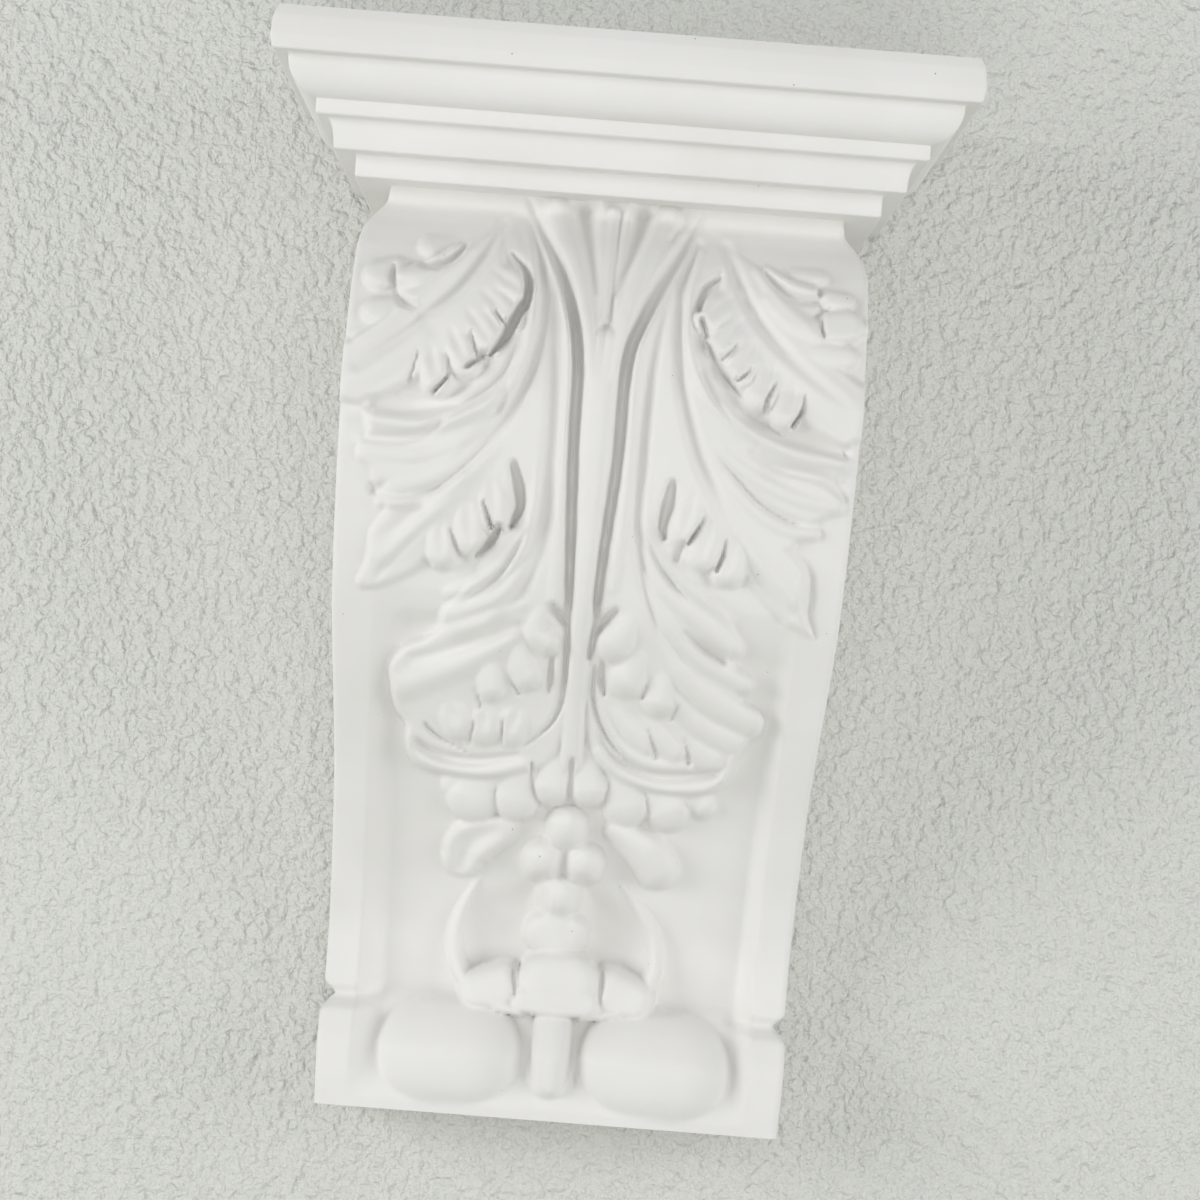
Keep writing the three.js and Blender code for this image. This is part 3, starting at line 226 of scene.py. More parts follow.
SPRAY_POWER = 2.8
DIMPLE_WIDTH, DIMPLE_END = [.5, 2.6, 1.6], .2


def spray(side, roots, tips, count, width, level, base, dimple):
    """A row of lobes, from a curve of roots to a curve of tips, each a little hollow along its middle."""
    spines = []
    for i in range(count):
        root, tip = bezier(roots, (i + .5) / count), bezier(tips, (i + .5) / count)
        spines.append([root, (root + tip) / 2, tip])
    for spine in spines:
        lobe(side, spine, width, level, base, SPRAY_POWER)
    for spine in spines:
        flute(side, spine, DIMPLE_WIDTH, [0, -dimple, -DIMPLE_END])


# Leaf masses, from the lowest leaves up.
leaf(LEFT, [[1, 262], [14, 262], [22, 230], [26, 205], [27, 185], [28, 172], [31, 160], [36, 151.6],
            [40, 147.6], [42, 141], [49, 137], [54, 131], [53.5, 124], [52, 118], [49, 114], [49, 109],
            [47, 104], [43, 101], [36, 99.6], [24, 99], [12, 102], [4, 109], [1, 130], [1, 180]],
     [.6, 1.4, 2, 2, 1.6], 2.6, -6)
leaf(RIGHT, [[1, 262], [14, 262], [22, 230], [26, 205], [27, 185], [29, 172], [34, 158], [40, 151],
             [44, 144], [43, 139], [46, 134], [46, 130], [49, 122], [50, 117], [47, 111], [45, 105],
             [41, 100.4], [32, 98.6], [22, 99], [12, 102], [4, 110], [1, 130], [1, 180]],
     [.6, 1.4, 2, 2, 1.6], 2.6, -6)
leaf(LEFT, [[1, 264], [36, 264], [35, 250], [28, 242], [24, 234], [24, 228], [28, 220], [33, 213],
            [40, 205.4], [50, 203.4], [60, 203], [65, 198.6], [63, 194.6], [65.6, 189.6], [65.6, 185],
            [62, 182.4], [60.6, 177], [57, 173.4], [61, 167], [61.6, 159], [64.5, 152], [60, 150],
            [53, 152.6], [47, 156], [41, 161.4], [34, 165.6], [28.6, 171], [25, 179], [22, 188],
            [16, 204], [8, 220], [1, 230]], [2, 2, 2, 1.6, -.6], 2.6, -4)
leaf(RIGHT, [[1, 264], [36, 264], [35, 249], [29, 243], [25, 234], [25.4, 227], [29, 219], [34, 211.6],
             [40, 205.6], [50, 203], [60, 203], [66, 199], [68, 194], [66.6, 189], [69, 184], [66, 180],
             [61.4, 177.2], [58, 173.6], [56.4, 169.4], [60.5, 164], [60, 156], [61.5, 151], [64, 146],
             [56, 149], [47, 155.6], [41, 162], [33, 166.4], [27, 171], [23.6, 178], [20, 188], [15, 204],
             [8, 220], [1, 230]], [2, 2, 2, 1.6, -.6], 2.6, -4)
leaf(LEFT, [[31, 256], [37, 252], [41, 248.6], [44, 245], [48, 241.6], [53, 240.4], [58.6, 239],
            [60.5, 234], [58.6, 229], [60, 225], [66, 220], [72.4, 214], [72.4, 202], [66, 199.6],
            [60, 201.6], [54, 205], [48.6, 208.6], [42, 214], [35.4, 221], [30.4, 227], [28, 233],
            [28.6, 241], [29.6, 248]], [3, 3, 3, 2.6, .8], 2.2, -4)
leaf(RIGHT, [[31, 254], [36, 251.6], [40, 248.6], [43, 245], [47, 241], [55, 240], [58, 237], [56, 231],
             [60, 227], [61, 222], [66, 219], [72.4, 213], [72.4, 204], [67, 198], [60, 200.4], [54, 204],
             [48, 208], [41.6, 212.6], [35.4, 218.6], [30.6, 225.6], [28.4, 232], [29.6, 240],
             [29.6, 247]], [3, 3, 3, 2.6, .8], 2.2, -4)

# Filling behind the fan of drops.
lobe(LEFT, [[6, 101], [20, 98.6], [33, 97.6]], 5.4, -1.4, -8, 2.4)
lobe(RIGHT, [[6, 101], [20, 98.6], [36, 98]], 5.4, -1.4, -8, 2.4)

# Soft flutes and fillets that run down from the stem into the leaves, and the ribs of the fingers, left.
flute(LEFT, [[27, 258], [17, 238], [13.2, 215], [12.4, 190], [14, 168], [19, 152], [26, 141]],
      [5, 4, 3.4, 3.6, 4, 4, 3], [-.8, -1.2, -1.6, -1.6, -1.6, -1.2, -.4])
flute(LEFT, [[17.6, 256], [12.2, 236], [9.8, 214], [9.4, 190], [8.8, 168], [9, 152]],
      [2.6, 2.2, 2, 2.2, 2.8, 3], [.8, 1, 1, .8, .8, .6])
flute(LEFT, [[24, 258], [19, 240], [18.2, 222], [21.4, 208], [27.4, 196.4], [36, 186.4], [46, 176],
             [56, 163]], [3, 2.6, 2.4, 2.6, 3.2, 3.6, 4, 4], [-1, -1.4, -1.6, -1.8, -2, -1.8, -1.4, -.6])
flute(LEFT, [[24.6, 256], [21, 242], [20.2, 228], [22.4, 214], [28, 204.8], [37, 199], [48, 195.6],
             [61, 196]], [2, 1.8, 2.2, 2.4, 2.8, 3.4, 3.6, 3.4], [.6, 1, 1.6, 1.8, 2, 2, 2, 1.6])
flute(LEFT, [[36, 183], [46, 175.6], [58, 174.2]], [2.4, 2.6, 2.4], [.8, 1.2, 1.2])
flute(LEFT, [[40, 202.4], [51, 200.6], [62, 200]], [2.4, 3.8, 3.2], [-.8, -3, -2.6])
flute(LEFT, [[42, 180], [52, 178.4], [60, 177.8]], [2, 3, 2.4], [-.6, -2.6, -2])
flute(LEFT, [[24.2, 219], [27.4, 211], [34, 204.2], [40.6, 198.8], [46.6, 193.8], [53, 191.6],
             [63, 191.2]], [1, 1.4, 1.6, 1.6, 1.9, 2.1, 1.8], [-.6, -1.2, -1.4, -1.6, -2, -2.2, -1.4])
flute(LEFT, [[25.2, 209], [27.8, 202], [32, 195.6], [37, 190]], [1, 1.8, 1.8, 1], [-.4, -2, -2, -.4])
flute(LEFT, [[15.6, 188], [16.2, 175], [19, 165], [26, 156.8], [38, 151]], [2, 2.4, 2.8, 3, 3],
      [0, 1.6, 1.6, 1.4, 1])
flute(LEFT, [[17.4, 170], [20.4, 163.6], [25, 157], [32.6, 150.4]], [1, 1.6, 1.6, .9],
      [-.6, -2.6, -2.6, -.6])
flute(LEFT, [[14, 168], [18, 158], [25, 150.6], [38, 145]], [2, 2.6, 3, 3], [.6, 1.2, 1.2, .6])
flute(LEFT, [[31, 256], [35.6, 245], [41.6, 235], [50, 226], [66, 210]], [3, 3.2, 3.4, 3.4, 3],
      [-1, -1.8, -2, -1.8, -.8])
flute(LEFT, [[50, 219], [60, 211], [71, 205]], [5, 6, 6], [.8, 1.2, .8])
flute(LEFT, [[40, 246], [46, 238], [54, 229], [67, 219]], [2.4, 3.4, 4, 3.4], [1, 1.6, 1.4, 1])
flute(LEFT, [[26, 194], [34, 184], [44, 172], [57, 160]], [3, 4, 4.8, 5], [0, 1.2, 1.4, 1])
flute(LEFT, [[41, 172], [50, 163.6], [58, 154]], [1.6, 2, 1.6], [-.4, -.8, -.4])
flute(LEFT, [[18, 150], [28, 144], [42, 139]], [3, 3.4, 3.2], [1, 1.2, .8])
flute(LEFT, [[18, 144], [30, 138.4], [47, 132.6]], [2.2, 2.6, 2.6], [-1, -1.2, -.8])
flute(LEFT, [[20, 140], [32, 132.6], [50, 124]], [4, 5.4, 5.4], [1.4, 1.8, 1.2])
flute(LEFT, [[48, 112], [46, 105], [38, 102], [26, 101.4], [14, 104.6]], [2.4, 2.8, 2.8, 2.8, 2.4],
      [.6, 1, 1.2, 1.2, .8])

lobe(LEFT, [[26, 210], [32, 203.4], [41, 198.4], [52, 195.8], [60.4, 196.4]], [1.6, 2.4, 3, 3.4, 3.4],
     [.6, 2.6, 3.2, 3.4, 2.6], -3)
lobe(LEFT, [[28, 200], [38, 191.6], [50, 187.2], [62, 187.4]], [1.6, 2.6, 3.2, 3.2], [.6, 2.4, 3, 2.4],
     -3)
lobe(LEFT, [[32, 192], [42, 183.4], [54, 178.6]], [1.6, 2.8, 4], [.4, 2.4, 2.6], -3)

# The same on the right, where the leaves differ.
flute(RIGHT, [[27, 256], [17.4, 238], [13.4, 222], [12.4, 206], [12.2, 190], [13.2, 172], [17, 157],
              [24, 142], [30, 128]], [4.4, 3.6, 2.8, 2.6, 2.6, 2.8, 3.4, 3.4, 2.6],
      [-.8, -1.2, -1.4, -2, -2, -2, -2.2, -2, -1])
flute(RIGHT, [[18.6, 256], [12.8, 238], [9.4, 224], [8.4, 208], [8.6, 190], [8, 172], [7, 156]],
      [2.6, 2.2, 1.8, 1.6, 1.8, 2, 2.4], [.8, 1, 1, 1, 1, .8, .6])
flute(RIGHT, [[23.6, 254], [19.8, 236], [20.2, 218], [23.4, 204], [29, 189.6], [37, 175.4], [45, 163],
              [54, 151.6]], [2.6, 2.4, 2.4, 3, 3.6, 3.8, 3.6, 3],
      [-1, -1.4, -1.8, -2, -2.2, -2, -1.6, -.8])
flute(RIGHT, [[24.4, 252], [22, 238], [22, 225], [25.6, 213.6], [32.4, 205.8], [42, 199.4], [54, 195.2],
              [67, 194]], [1.8, 1.8, 2, 2.4, 2.8, 3.2, 3.4, 3.4], [.6, 1, 1.6, 1.8, 2, 2, 2, 1.6])
flute(RIGHT, [[38, 205], [49, 201.4], [58, 199.4], [66, 196.4]], [2, 3.4, 3.2, 2.2], [-.6, -3, -3, -2.2])
flute(RIGHT, [[25.8, 216.4], [30.4, 208.4], [37, 201.4], [43, 196.6]], [.9, 1.3, 1.3, .9],
      [-.6, -1.6, -1.6, -.6])
flute(RIGHT, [[41, 195], [48.6, 191.6], [56, 190.4], [62.6, 188.8], [67.8, 185]], [1.3, 1.9, 2, 2, 1.8],
      [-.6, -2, -2.2, -2.2, -1.4])
flute(RIGHT, [[45, 190], [52, 186], [58, 183.2], [64, 181.6]], [1.4, 1.8, 1.8, 1.4],
      [-.6, -1.6, -1.8, -1.2])
flute(RIGHT, [[32, 196], [40, 185.2], [47.4, 179], [61, 174.8]], [1.8, 2.8, 3.4, 2.6],
      [-.4, -2, -2.8, -2.2])
flute(RIGHT, [[13.4, 188], [14, 175], [18, 166.6], [26, 159], [34, 153.8], [40.6, 149.6]],
      [1.8, 2.2, 2.4, 2.6, 2.4, 2], [0, 1.4, 1.4, 1.4, 1.2, .8])
flute(RIGHT, [[15, 172], [17.8, 166], [21.8, 160.2], [28, 154]], [.7, 1.5, 1.5, .8],
      [-.6, -2.4, -2.4, -.6])
flute(RIGHT, [[31, 254], [36, 240], [42, 230], [52, 219.6], [65, 210]], [3, 3.2, 3.2, 3.2, 2.6],
      [-1, -1.8, -1.8, -1.4, -.6])
flute(RIGHT, [[40, 246], [47, 236], [56, 229]], [2.4, 3.4, 3.4], [1, 1.6, 1.4])
flute(RIGHT, [[50, 220], [60, 213], [71, 207]], [4.6, 6, 6], [.8, 1.2, .8])
flute(RIGHT, [[25, 192], [33, 181], [43, 168], [56, 157]], [3, 3.8, 4.6, 4.8], [0, 1.2, 1.4, 1])
flute(RIGHT, [[40, 172], [49, 162], [57, 152]], [1.6, 2, 1.6], [-.4, -.8, -.4])
flute(RIGHT, [[47, 116], [45, 107.6], [38.6, 101.8], [26, 100.8], [14, 103.8], [6.6, 110]],
      [2.2, 2.8, 2.8, 2.8, 2.6, 2.2], [.6, 1, 1.2, 1.4, 1.2, .8])

lobe(RIGHT, [[26, 212], [33, 204.4], [43, 198.8], [55, 195], [65, 194.4]], [1.6, 2.4, 2.8, 3, 2.8],
     [.6, 2.6, 3.2, 3.2, 2.4], -3)
lobe(RIGHT, [[27, 204], [34, 194.8], [44, 187.8], [56, 183.4], [65.4, 182.4]], [1.6, 2.6, 3, 3.4, 3],
     [.6, 2.6, 3.2, 3.2, 2.4], -3)
lobe(RIGHT, [[30, 196], [36, 187], [44, 179.4], [53, 175], [60, 174.8]], [1.6, 2.4, 2.6, 2.8, 2.6],
     [.4, 2.4, 3, 3, 2.2], -3)

# Rounded fingers of the lower right leaf, and the curled edge beside the stem.
lobe(RIGHT, [[15, 168], [21, 157], [30, 150], [41, 142.4]], [2, 3, 3.8, 3.8], [.2, 2.4, 2.8, 2.6], -3)
lobe(RIGHT, [[16, 160], [23.4, 147.4], [33, 138.6], [45.6, 132.4]], [2.4, 3.2, 3.8, 3.2],
     [.2, 2.6, 2.8, 2.4], -3)
lobe(RIGHT, [[19, 148], [27, 135], [37, 127], [48.6, 121.6]], [2.6, 3.8, 5, 4.6], [.2, 2.8, 3.2, 2.6], -3)
lobe(RIGHT, [[26, 128], [34, 120], [44, 115.6]], [3, 4.4, 4.6], [1.8, 2.6, 2.2], -3)
lobe(RIGHT, [[5.4, 124], [9.6, 115.6], [16, 109.8], [24, 107.4], [33, 107.8]], [2, 2.8, 3, 3, 2.8],
     [1.6, 2.4, 2.8, 2.8, 2.4], -3)
flute(RIGHT, [[28, 145], [34, 141.6], [39.4, 139]], [1.6, 2.4, 2.4], [-1, -2.8, -2.8])

# Curled tips and stubs at the top of the upper leaves.
lobe(LEFT, [[42.6, 246], [47.6, 240], [53, 236.6], [58.4, 236]], [2, 3.4, 4.2, 3], [3.4, 5, 6, 5.4], -2)
lobe(LEFT, [[45, 249], [50, 246.6]], [3, 5], [.6, 2.4], -3)
lobe(LEFT, [[58.6, 238.6], [63.2, 236.4]], [3.8, 4.8], [3.4, 3.8], -4, 3.2)
lobe(LEFT, [[56, 226.6], [62.6, 225.8]], [4.8, 4.6], [3.2, 3.4], -4, 3.2)
lobe(RIGHT, [[42.6, 246.6], [47.6, 242.8], [54.4, 240.6]], [1.8, 2.6, 2.8], [3, 4.6, 5], -2)
lobe(RIGHT, [[50.6, 246.6], [57.2, 245.8]], [3, 3.2], [1.4, 2.4], -3)
lobe(RIGHT, [[43, 238], [49.6, 232], [57, 229]], [3, 4.6, 4.8], [4, 4.8, 4.2], -2)
lobe(RIGHT, [[58.6, 239.4], [63.6, 238.8]], [3.2, 3.2], [3.4, 3.6], -4, 3.4)
lobe(RIGHT, [[61.4, 231], [64.6, 231.6]], [5, 5], [4.8, 4.8], -4, 4.5)
lobe(RIGHT, [[57.6, 223.6], [65, 222.8]], [3.8, 3.8], [3.6, 3.6], -4, 3.4)

# Scalloped lobes along the sprays.
spray(LEFT, [[32, 243.6], [36.4, 228], [50.4, 215.6]], [[22.6, 238.4], [27, 217], [49, 205.4]], 5,
      [3.4, 4.8, 4.8], [1.2, 4.2, 5.2], -3, .9)
spray(RIGHT, [[33, 242], [39, 226], [55, 212]], [[25.4, 235], [33, 212.6], [54, 204]], 5, [3.4, 4.8, 4.8],
      [1.2, 4.2, 5.2], -3, .9)
spray(LEFT, [[25.8, 187], [34, 178], [45, 168]], [[23.8, 176], [31, 163], [44.5, 161]], 3, [4, 5, 4.8],
      [.8, 3.8, 5], -3, .8)
spray(RIGHT, [[25.4, 187], [30, 178], [43, 168]], [[23, 176], [28.6, 164], [42, 162]], 3, [4, 5, 4.8],
      [.8, 3.8, 5], -3, .8)
lobe(LEFT, [[12.6, 148], [13, 142], [9.8, 139.6]], [3.4, 4.4, 4.4], [2, 4.2, 5], -4)
lobe(LEFT, [[18.6, 141], [16.4, 133], [14.8, 130]], [4, 5.4, 5.2], [1.6, 3.8, 4.6], -4)
lobe(LEFT, [[27.4, 136], [25.2, 129], [24.6, 126]], [4, 5.4, 5], [1.4, 3.6, 4.4], -4)
spray(LEFT, [[42, 122], [26, 119.6], [12, 122]], [[37.6, 116], [26, 112.4], [15, 114.8]], 3,
      [4.6, 5.8, 5.6], [.8, 2.4, 3.2], -4, .7)
lobe(RIGHT, [[12.8, 148], [10, 142.8], [8.8, 140.6]], [4.6, 6.4, 6.2], [2, 4.4, 5.2], -4)
lobe(RIGHT, [[16.4, 140], [13.8, 132.6], [13, 131]], [4.6, 6.2, 6.2], [1.6, 4, 4.8], -4)
lobe(RIGHT, [[23.6, 134], [22.8, 127.4], [22.6, 126]], [4.4, 6, 6], [1.4, 3.6, 4.4], -4)
lobe(RIGHT, [[10, 123], [15.4, 117], [20.4, 113]], [3.4, 4.6, 4.2], [1.2, 2.6, 3.2], -4)
lobe(RIGHT, [[18.6, 120.6], [24, 115], [28.4, 111.4]], [3.4, 4.8, 4.4], [1.2, 2.6, 3.2], -4)
lobe(RIGHT, [[29, 117.6], [35, 112], [39.4, 109.8]], [3.8, 5.2, 4.8], [1.2, 2.4, 2.4], -4)

# Fan of drops below the leaves, and the two small leaves under it.
lobe(LEFT, [[4.8, 108], [5.6, 98.8]], [4.4, 6], [-.6, 2.2], -5.6, 2.6)
lobe(LEFT, [[14, 106], [15.8, 94.4]], [5.4, 7], [-.8, 1.4], -5.6, 2.6)
lobe(LEFT, [[26, 102], [28.4, 94]], [6.4, 7.8], [-1.4, .6], -5.6, 2.6)
lobe(RIGHT, [[4, 108], [5, 99]], [4.4, 6], [-.6, 2.2], -5.6, 2.6)
lobe(RIGHT, [[14, 106], [16.2, 94.8]], [5.4, 7], [-.8, 1.4], -5.6, 2.6)
lobe(RIGHT, [[25, 102], [28.4, 94.8]], [5.8, 7], [-1.4, .8], -5.6, 2.6)
lobe(RIGHT, [[35, 100], [38.4, 96.4]], [4, 4.2], [-2, -.6], -8)
lobe(LEFT, [[18, 85.4], [28, 79.8], [30.4, 75.4]], [4.6, 8, 6.4], [-2.2, -1.2, -1.6], -9, 3)
flute(LEFT, [[22, 84], [29, 79.6], [31, 73]], [4, 5.4, 4.4], [-.8, -2.2, -1.6])
lobe(RIGHT, [[14, 87], [23, 81.4], [27, 76.4]], [4, 6.8, 6.8], [-.4, 1.4, 1], -9)

# Stem with its fork, and the hanging fruit.
lobe(MID, [[-.4, 222], [-.5, 205], [-.6, 180], [-.8, 150], [-1, 128], [-.6, 106]],
     [5, 5, 4.4, 3.4, 3.4, 4], [3.2, 3.6, 3.8, 3.8, 3, 1.4], -4, 2.6)
lobe(MID, [[-3, 212], [-6.2, 229], [-10.8, 245], [-17, 262]], [2.4, 3.2, 3.8, 4.4], [3.4, 3.6, 3.4, 3],
     -3)
lobe(MID, [[2.4, 212], [4.8, 229], [8.6, 245], [15, 262]], [2.4, 3.2, 3.8, 4.4], [3.4, 3.6, 3.4, 3], -3)
lobe(MID, [[-1, 228], [-1, 242], [-1, 262]], [1, 2, 2.4], [2, 2.2, 2], -2)
flute(MID, [[-.6, 226], [-.8, 212]], [2, 1], [-1, 0])
flute(MID, [[-9, 262], [-6.6, 250], [-4, 236]], [5, 3.4, 1.6], [-4, -2, -.6])
flute(MID, [[8, 262], [5.6, 250], [2, 236]], [5, 3.4, 1.6], [-4, -2, -.6])
lobe(MID, [[-.5, 87], [-.5, 85.6]], 7, 3.6, -9, 2)
lobe(MID, [[-6.6, 76.6], [-6.6, 76]], 7.4, 3.8, -9, 2)
lobe(MID, [[5.2, 76.4], [5.2, 75.8]], 7, 3.8, -9, 2)
lobe(MID, [[-1, 66], [-1, 65.2]], 7.2, 3.6, -9, 2)

# Heart-shaped strap round a hollow, with the flower that closes it.
hollow(LEFT, [[4, 72], [16, 70], [25, 67], [29, 59], [30, 50], [29, 42], [24, 36], [14, 33], [3, 33]],
       [-11, -7], 9)
hollow(RIGHT, [[3, 72], [12, 71], [19, 67], [25, 60], [28, 52], [28, 44], [24, 37], [14, 33], [3, 33]],
       [-11, -7], 9)
lobe(LEFT, [[25.4, 69], [29.4, 60], [31, 51], [29.8, 43], [25.6, 37], [18, 33], [8, 31.6]],
     [1.2, 2.4, 2.8, 2.8, 3, 3, 3], [-5, -3.4, -2.4, -1.4, 0, 1, 1.6], -12)
lobe(RIGHT, [[17, 70.6], [23.2, 63.6], [27.8, 55], [28.8, 46.4], [26.4, 38.8], [20, 33.6], [8, 31.6]],
     [1.2, 2.2, 2.6, 2.8, 3, 3, 3], [-5, -3.4, -2.4, -1.4, 0, 1, 1.6], -12)
lobe(MID, [[-4.2, 54.4], [2.2, 54.4]], 7, .4, -12, 3)
lobe(MID, [[-1, 62], [-1, 52]], [5, 6.8], .4, -12, 2.6, 1)
lobe(MID, [[-34.8, 15.8], [-25.4, 16.2]], 17.6, 3.6, -9, 2.1, 1)
lobe(MID, [[25.2, 16.8], [36.4, 15.6]], 17.8, 3.6, -9, 2.1, 1)
lobe(MID, [[0, 32], [0, 18], [0, 11]], [5.8, 5.8, 5.4], [0, 2.2, 1.8], -6)
cut(MID, [[-7.9, 32], [-7.3, 22], [-7.1, 11]], [2, 1.9, 1.1], [-6, -7, -4], 4, .6)
cut(MID, [[6.3, 32], [7.1, 21], [8, 10]], [2, 1.9, 1.1], [-6, -7, -4], 4, .6)
lobe(MID, [[-16, 38], [-23.6, 36.6]], [7.2, 5.8], 3.4, -8, 2.6)
lobe(MID, [[16.4, 38.6], [24, 37]], [7.4, 6], 3.4, -8, 2.6)
lobe(MID, [[-2.4, 39.8], [4, 39.8]], 9.6, 5, -8, 3.2)
lobe(MID, [[-9, 35], [0, 34.4], [10, 35]], 4.6, 4.6, -6, 2.6)
cut(MID, [[-13.8, 45.4], [-11.8, 35]], [1.8, .8], [-3, 1.6])
cut(MID, [[13.6, 45.4], [13.4, 34]], [1.8, .8], [-3, 1.6])

# Deep grooves on both sides of the stem.
cut(LEFT, [[25, 264], [18.6, 251.6], [12.8, 239.4], [9, 227], [7.2, 215], [6.9, 200], [6.5, 188],
           [5.7, 172], [4.9, 156], [4.5, 143], [4.2, 131]], [3, 2.6, 2.2, 2, 2, 2, 2, 1.9, 1.6, 1.2, 1.1],
    [-1, -2.6, -4, -5, -5, -5, -5, -5, -5, -4, -3.5], 5)
cut(LEFT, [[4.2, 131], [5, 122.6], [8, 116.4], [14.6, 110.2]], [1.1, 1.1, 1.1, .7], [-3.5, -2.6, -2, -.5],
    5)
cut(RIGHT, [[24.4, 264], [18.6, 250], [13, 238], [9.2, 228.4], [6.6, 220.4], [5.7, 210], [5.7, 197],
            [5.3, 186], [4.2, 172], [3.4, 160], [3, 152]],
    [3.6, 3.8, 3.2, 2.4, 2.2, 2.1, 2.1, 2, 1.9, 1.7, 1.6],
    [-.6, -2.6, -3.8, -5, -5, -5, -5, -5, -5, -5, -5], 5)
cut(RIGHT, [[3, 152], [3.2, 145.6], [2.2, 137]], [1.6, 1.3, 1], [-4.5, -4, -3])
cut(RIGHT, [[3.8, 134], [4, 126], [6.6, 118.6], [11.6, 111.6], [19, 106.4]], [.9, 1.1, 1, 1, .6],
    [-2.4, -2.6, -2, -1, .4])

# Eyes and pockets between the lobes, left.
cut(LEFT, [[28, 246], [23.8, 241.4], [22.2, 235.4], [22.8, 230]], [.9, 1.5, 1.5, 1.3],
    [-1, -3.6, -4.6, -4.6], 5, .6)
cut(LEFT, [[23.4, 231], [25.6, 225.4], [28, 220.2], [31.6, 215.4]], [1.3, 1.9, 1.6, .7],
    [-4.6, -5.4, -4.6, -1.4], 5, .6)
cut(LEFT, [[33, 215.8], [37, 212.2]], [1.3, 1], [-2, -1.4])
cut(LEFT, [[59.6, 239], [58.8, 233], [55.4, 228.8], [50, 226.6]], [1, 1.7, 2, 1.2], [.4, -.6, 0, 1.8], 6,
    .6)
cut(LEFT, [[54.6, 242.2], [49.8, 240], [44.6, 242], [40.6, 247.6], [39.4, 252.6]],
    [1.3, 1.9, 1.9, 1.5, 1], [-.4, -1, -.6, .4, 1], 6, .6)
cut(LEFT, [[22.4, 187], [20.6, 181.4], [19.9, 176], [22, 170.4]], [1.6, 2.4, 1.7, .8],
    [-3, -4.4, -4.4, -3.4], 5, .5)
cut(LEFT, [[25.2, 169.8], [27.6, 165.6], [31.4, 161.8]], [1, 1.6, .8], [-3.4, -4, -1.6], 5, .5)
cut(LEFT, [[43.4, 158.4], [48.8, 154.4]], [1.3, .9], [-.6, 1])
cut(LEFT, [[9.2, 149.6], [7, 148], [4.8, 145.4]], [1.9, 2, 1.4], [-2, -3.6, -4.4], 5, .5)
cut(LEFT, [[8.4, 135.8], [8.3, 131], [8.6, 126.4]], [1.1, 1.4, .9], [-2.6, -3.4, -1.6])
cut(LEFT, [[43, 114.2], [38.4, 110.8], [31, 107.6]], [1, 1, .8], [-2, -2.2, -1])
flute(LEFT, [[45, 108.6], [38, 105.4], [28, 104.8], [16, 107.4]], [2, 2.4, 2.2, 1.2],
      [-2.4, -2.6, -2.2, -.8])
flute(LEFT, [[48, 141.4], [41, 141]], [6.4, 6], [-1.8, -1.4])

# Eyes and pockets, right.
cut(RIGHT, [[30, 243.4], [25.8, 239.6], [24.4, 233]], [1.5, 1.9, 1], [-1.6, -3, -2.2], 5, .5)
cut(RIGHT, [[25.2, 230.4], [27, 226]], [.7, 1.1], [-1, -2])
cut(RIGHT, [[27.6, 223.6], [30.2, 218.4], [33, 215], [37.4, 210.2]], [.9, 1.2, 1.4, 1],
    [-1.6, -2.4, -3.2, -1.8], 5, .5)
cut(RIGHT, [[41.6, 246.6], [46, 241.6], [50.6, 238.6], [57.6, 238]], [1.4, 2.2, 2.2, 1.5],
    [1.2, .4, -.2, -.8], 6, .6)
cut(RIGHT, [[57.6, 244], [57.2, 240.4]], [1, 1.3], [.4, 0])
cut(RIGHT, [[57.9, 235], [57.9, 231], [58.6, 228]], [.6, .8, .6], [1.6, .8, 1.4])
cut(RIGHT, [[60.4, 226.6], [66, 226.2]], .6, 2.6)
cut(RIGHT, [[20.8, 185], [20.2, 179.6], [19.3, 174.4], [20, 170.6]], [1.7, 2.7, 1.9, 1],
    [-3, -4.4, -3.4, -1.8], 5, .5)
cut(RIGHT, [[24.8, 168.8], [23.6, 165.6]], [1.3, 1.9], [-.6, -1.2])
cut(RIGHT, [[53, 169.6], [57.6, 168.4], [60.8, 164.4], [61.8, 158.6], [61.8, 153], [64.4, 146.6]],
    [.6, 1.4, 1.8, 2.2, 2, 1.4], [1, -.6, -1.4, -1.8, -1.8, -.8], 4, .5)
cut(RIGHT, [[8.4, 150], [6, 147.8], [3.8, 144.4]], [1.6, 2.1, 1.4], [-2.2, -3.6, -4], 5, .5)
cut(RIGHT, [[5.8, 135.2], [6, 131], [7.2, 126.8]], [1.3, 1.8, 1.1], [-2.6, -3.6, -1.6])
cut(RIGHT, [[31.8, 113.6], [32.8, 109.2]], [.8, 1.5], [.4, -1])
flute(RIGHT, [[41, 106.4], [32, 104.8], [22, 104.8], [12, 108.4], [7, 114.4]], [1.6, 2.2, 2, 1.6, 1],
      [-2, -2.4, -2, -1.4, -.6])

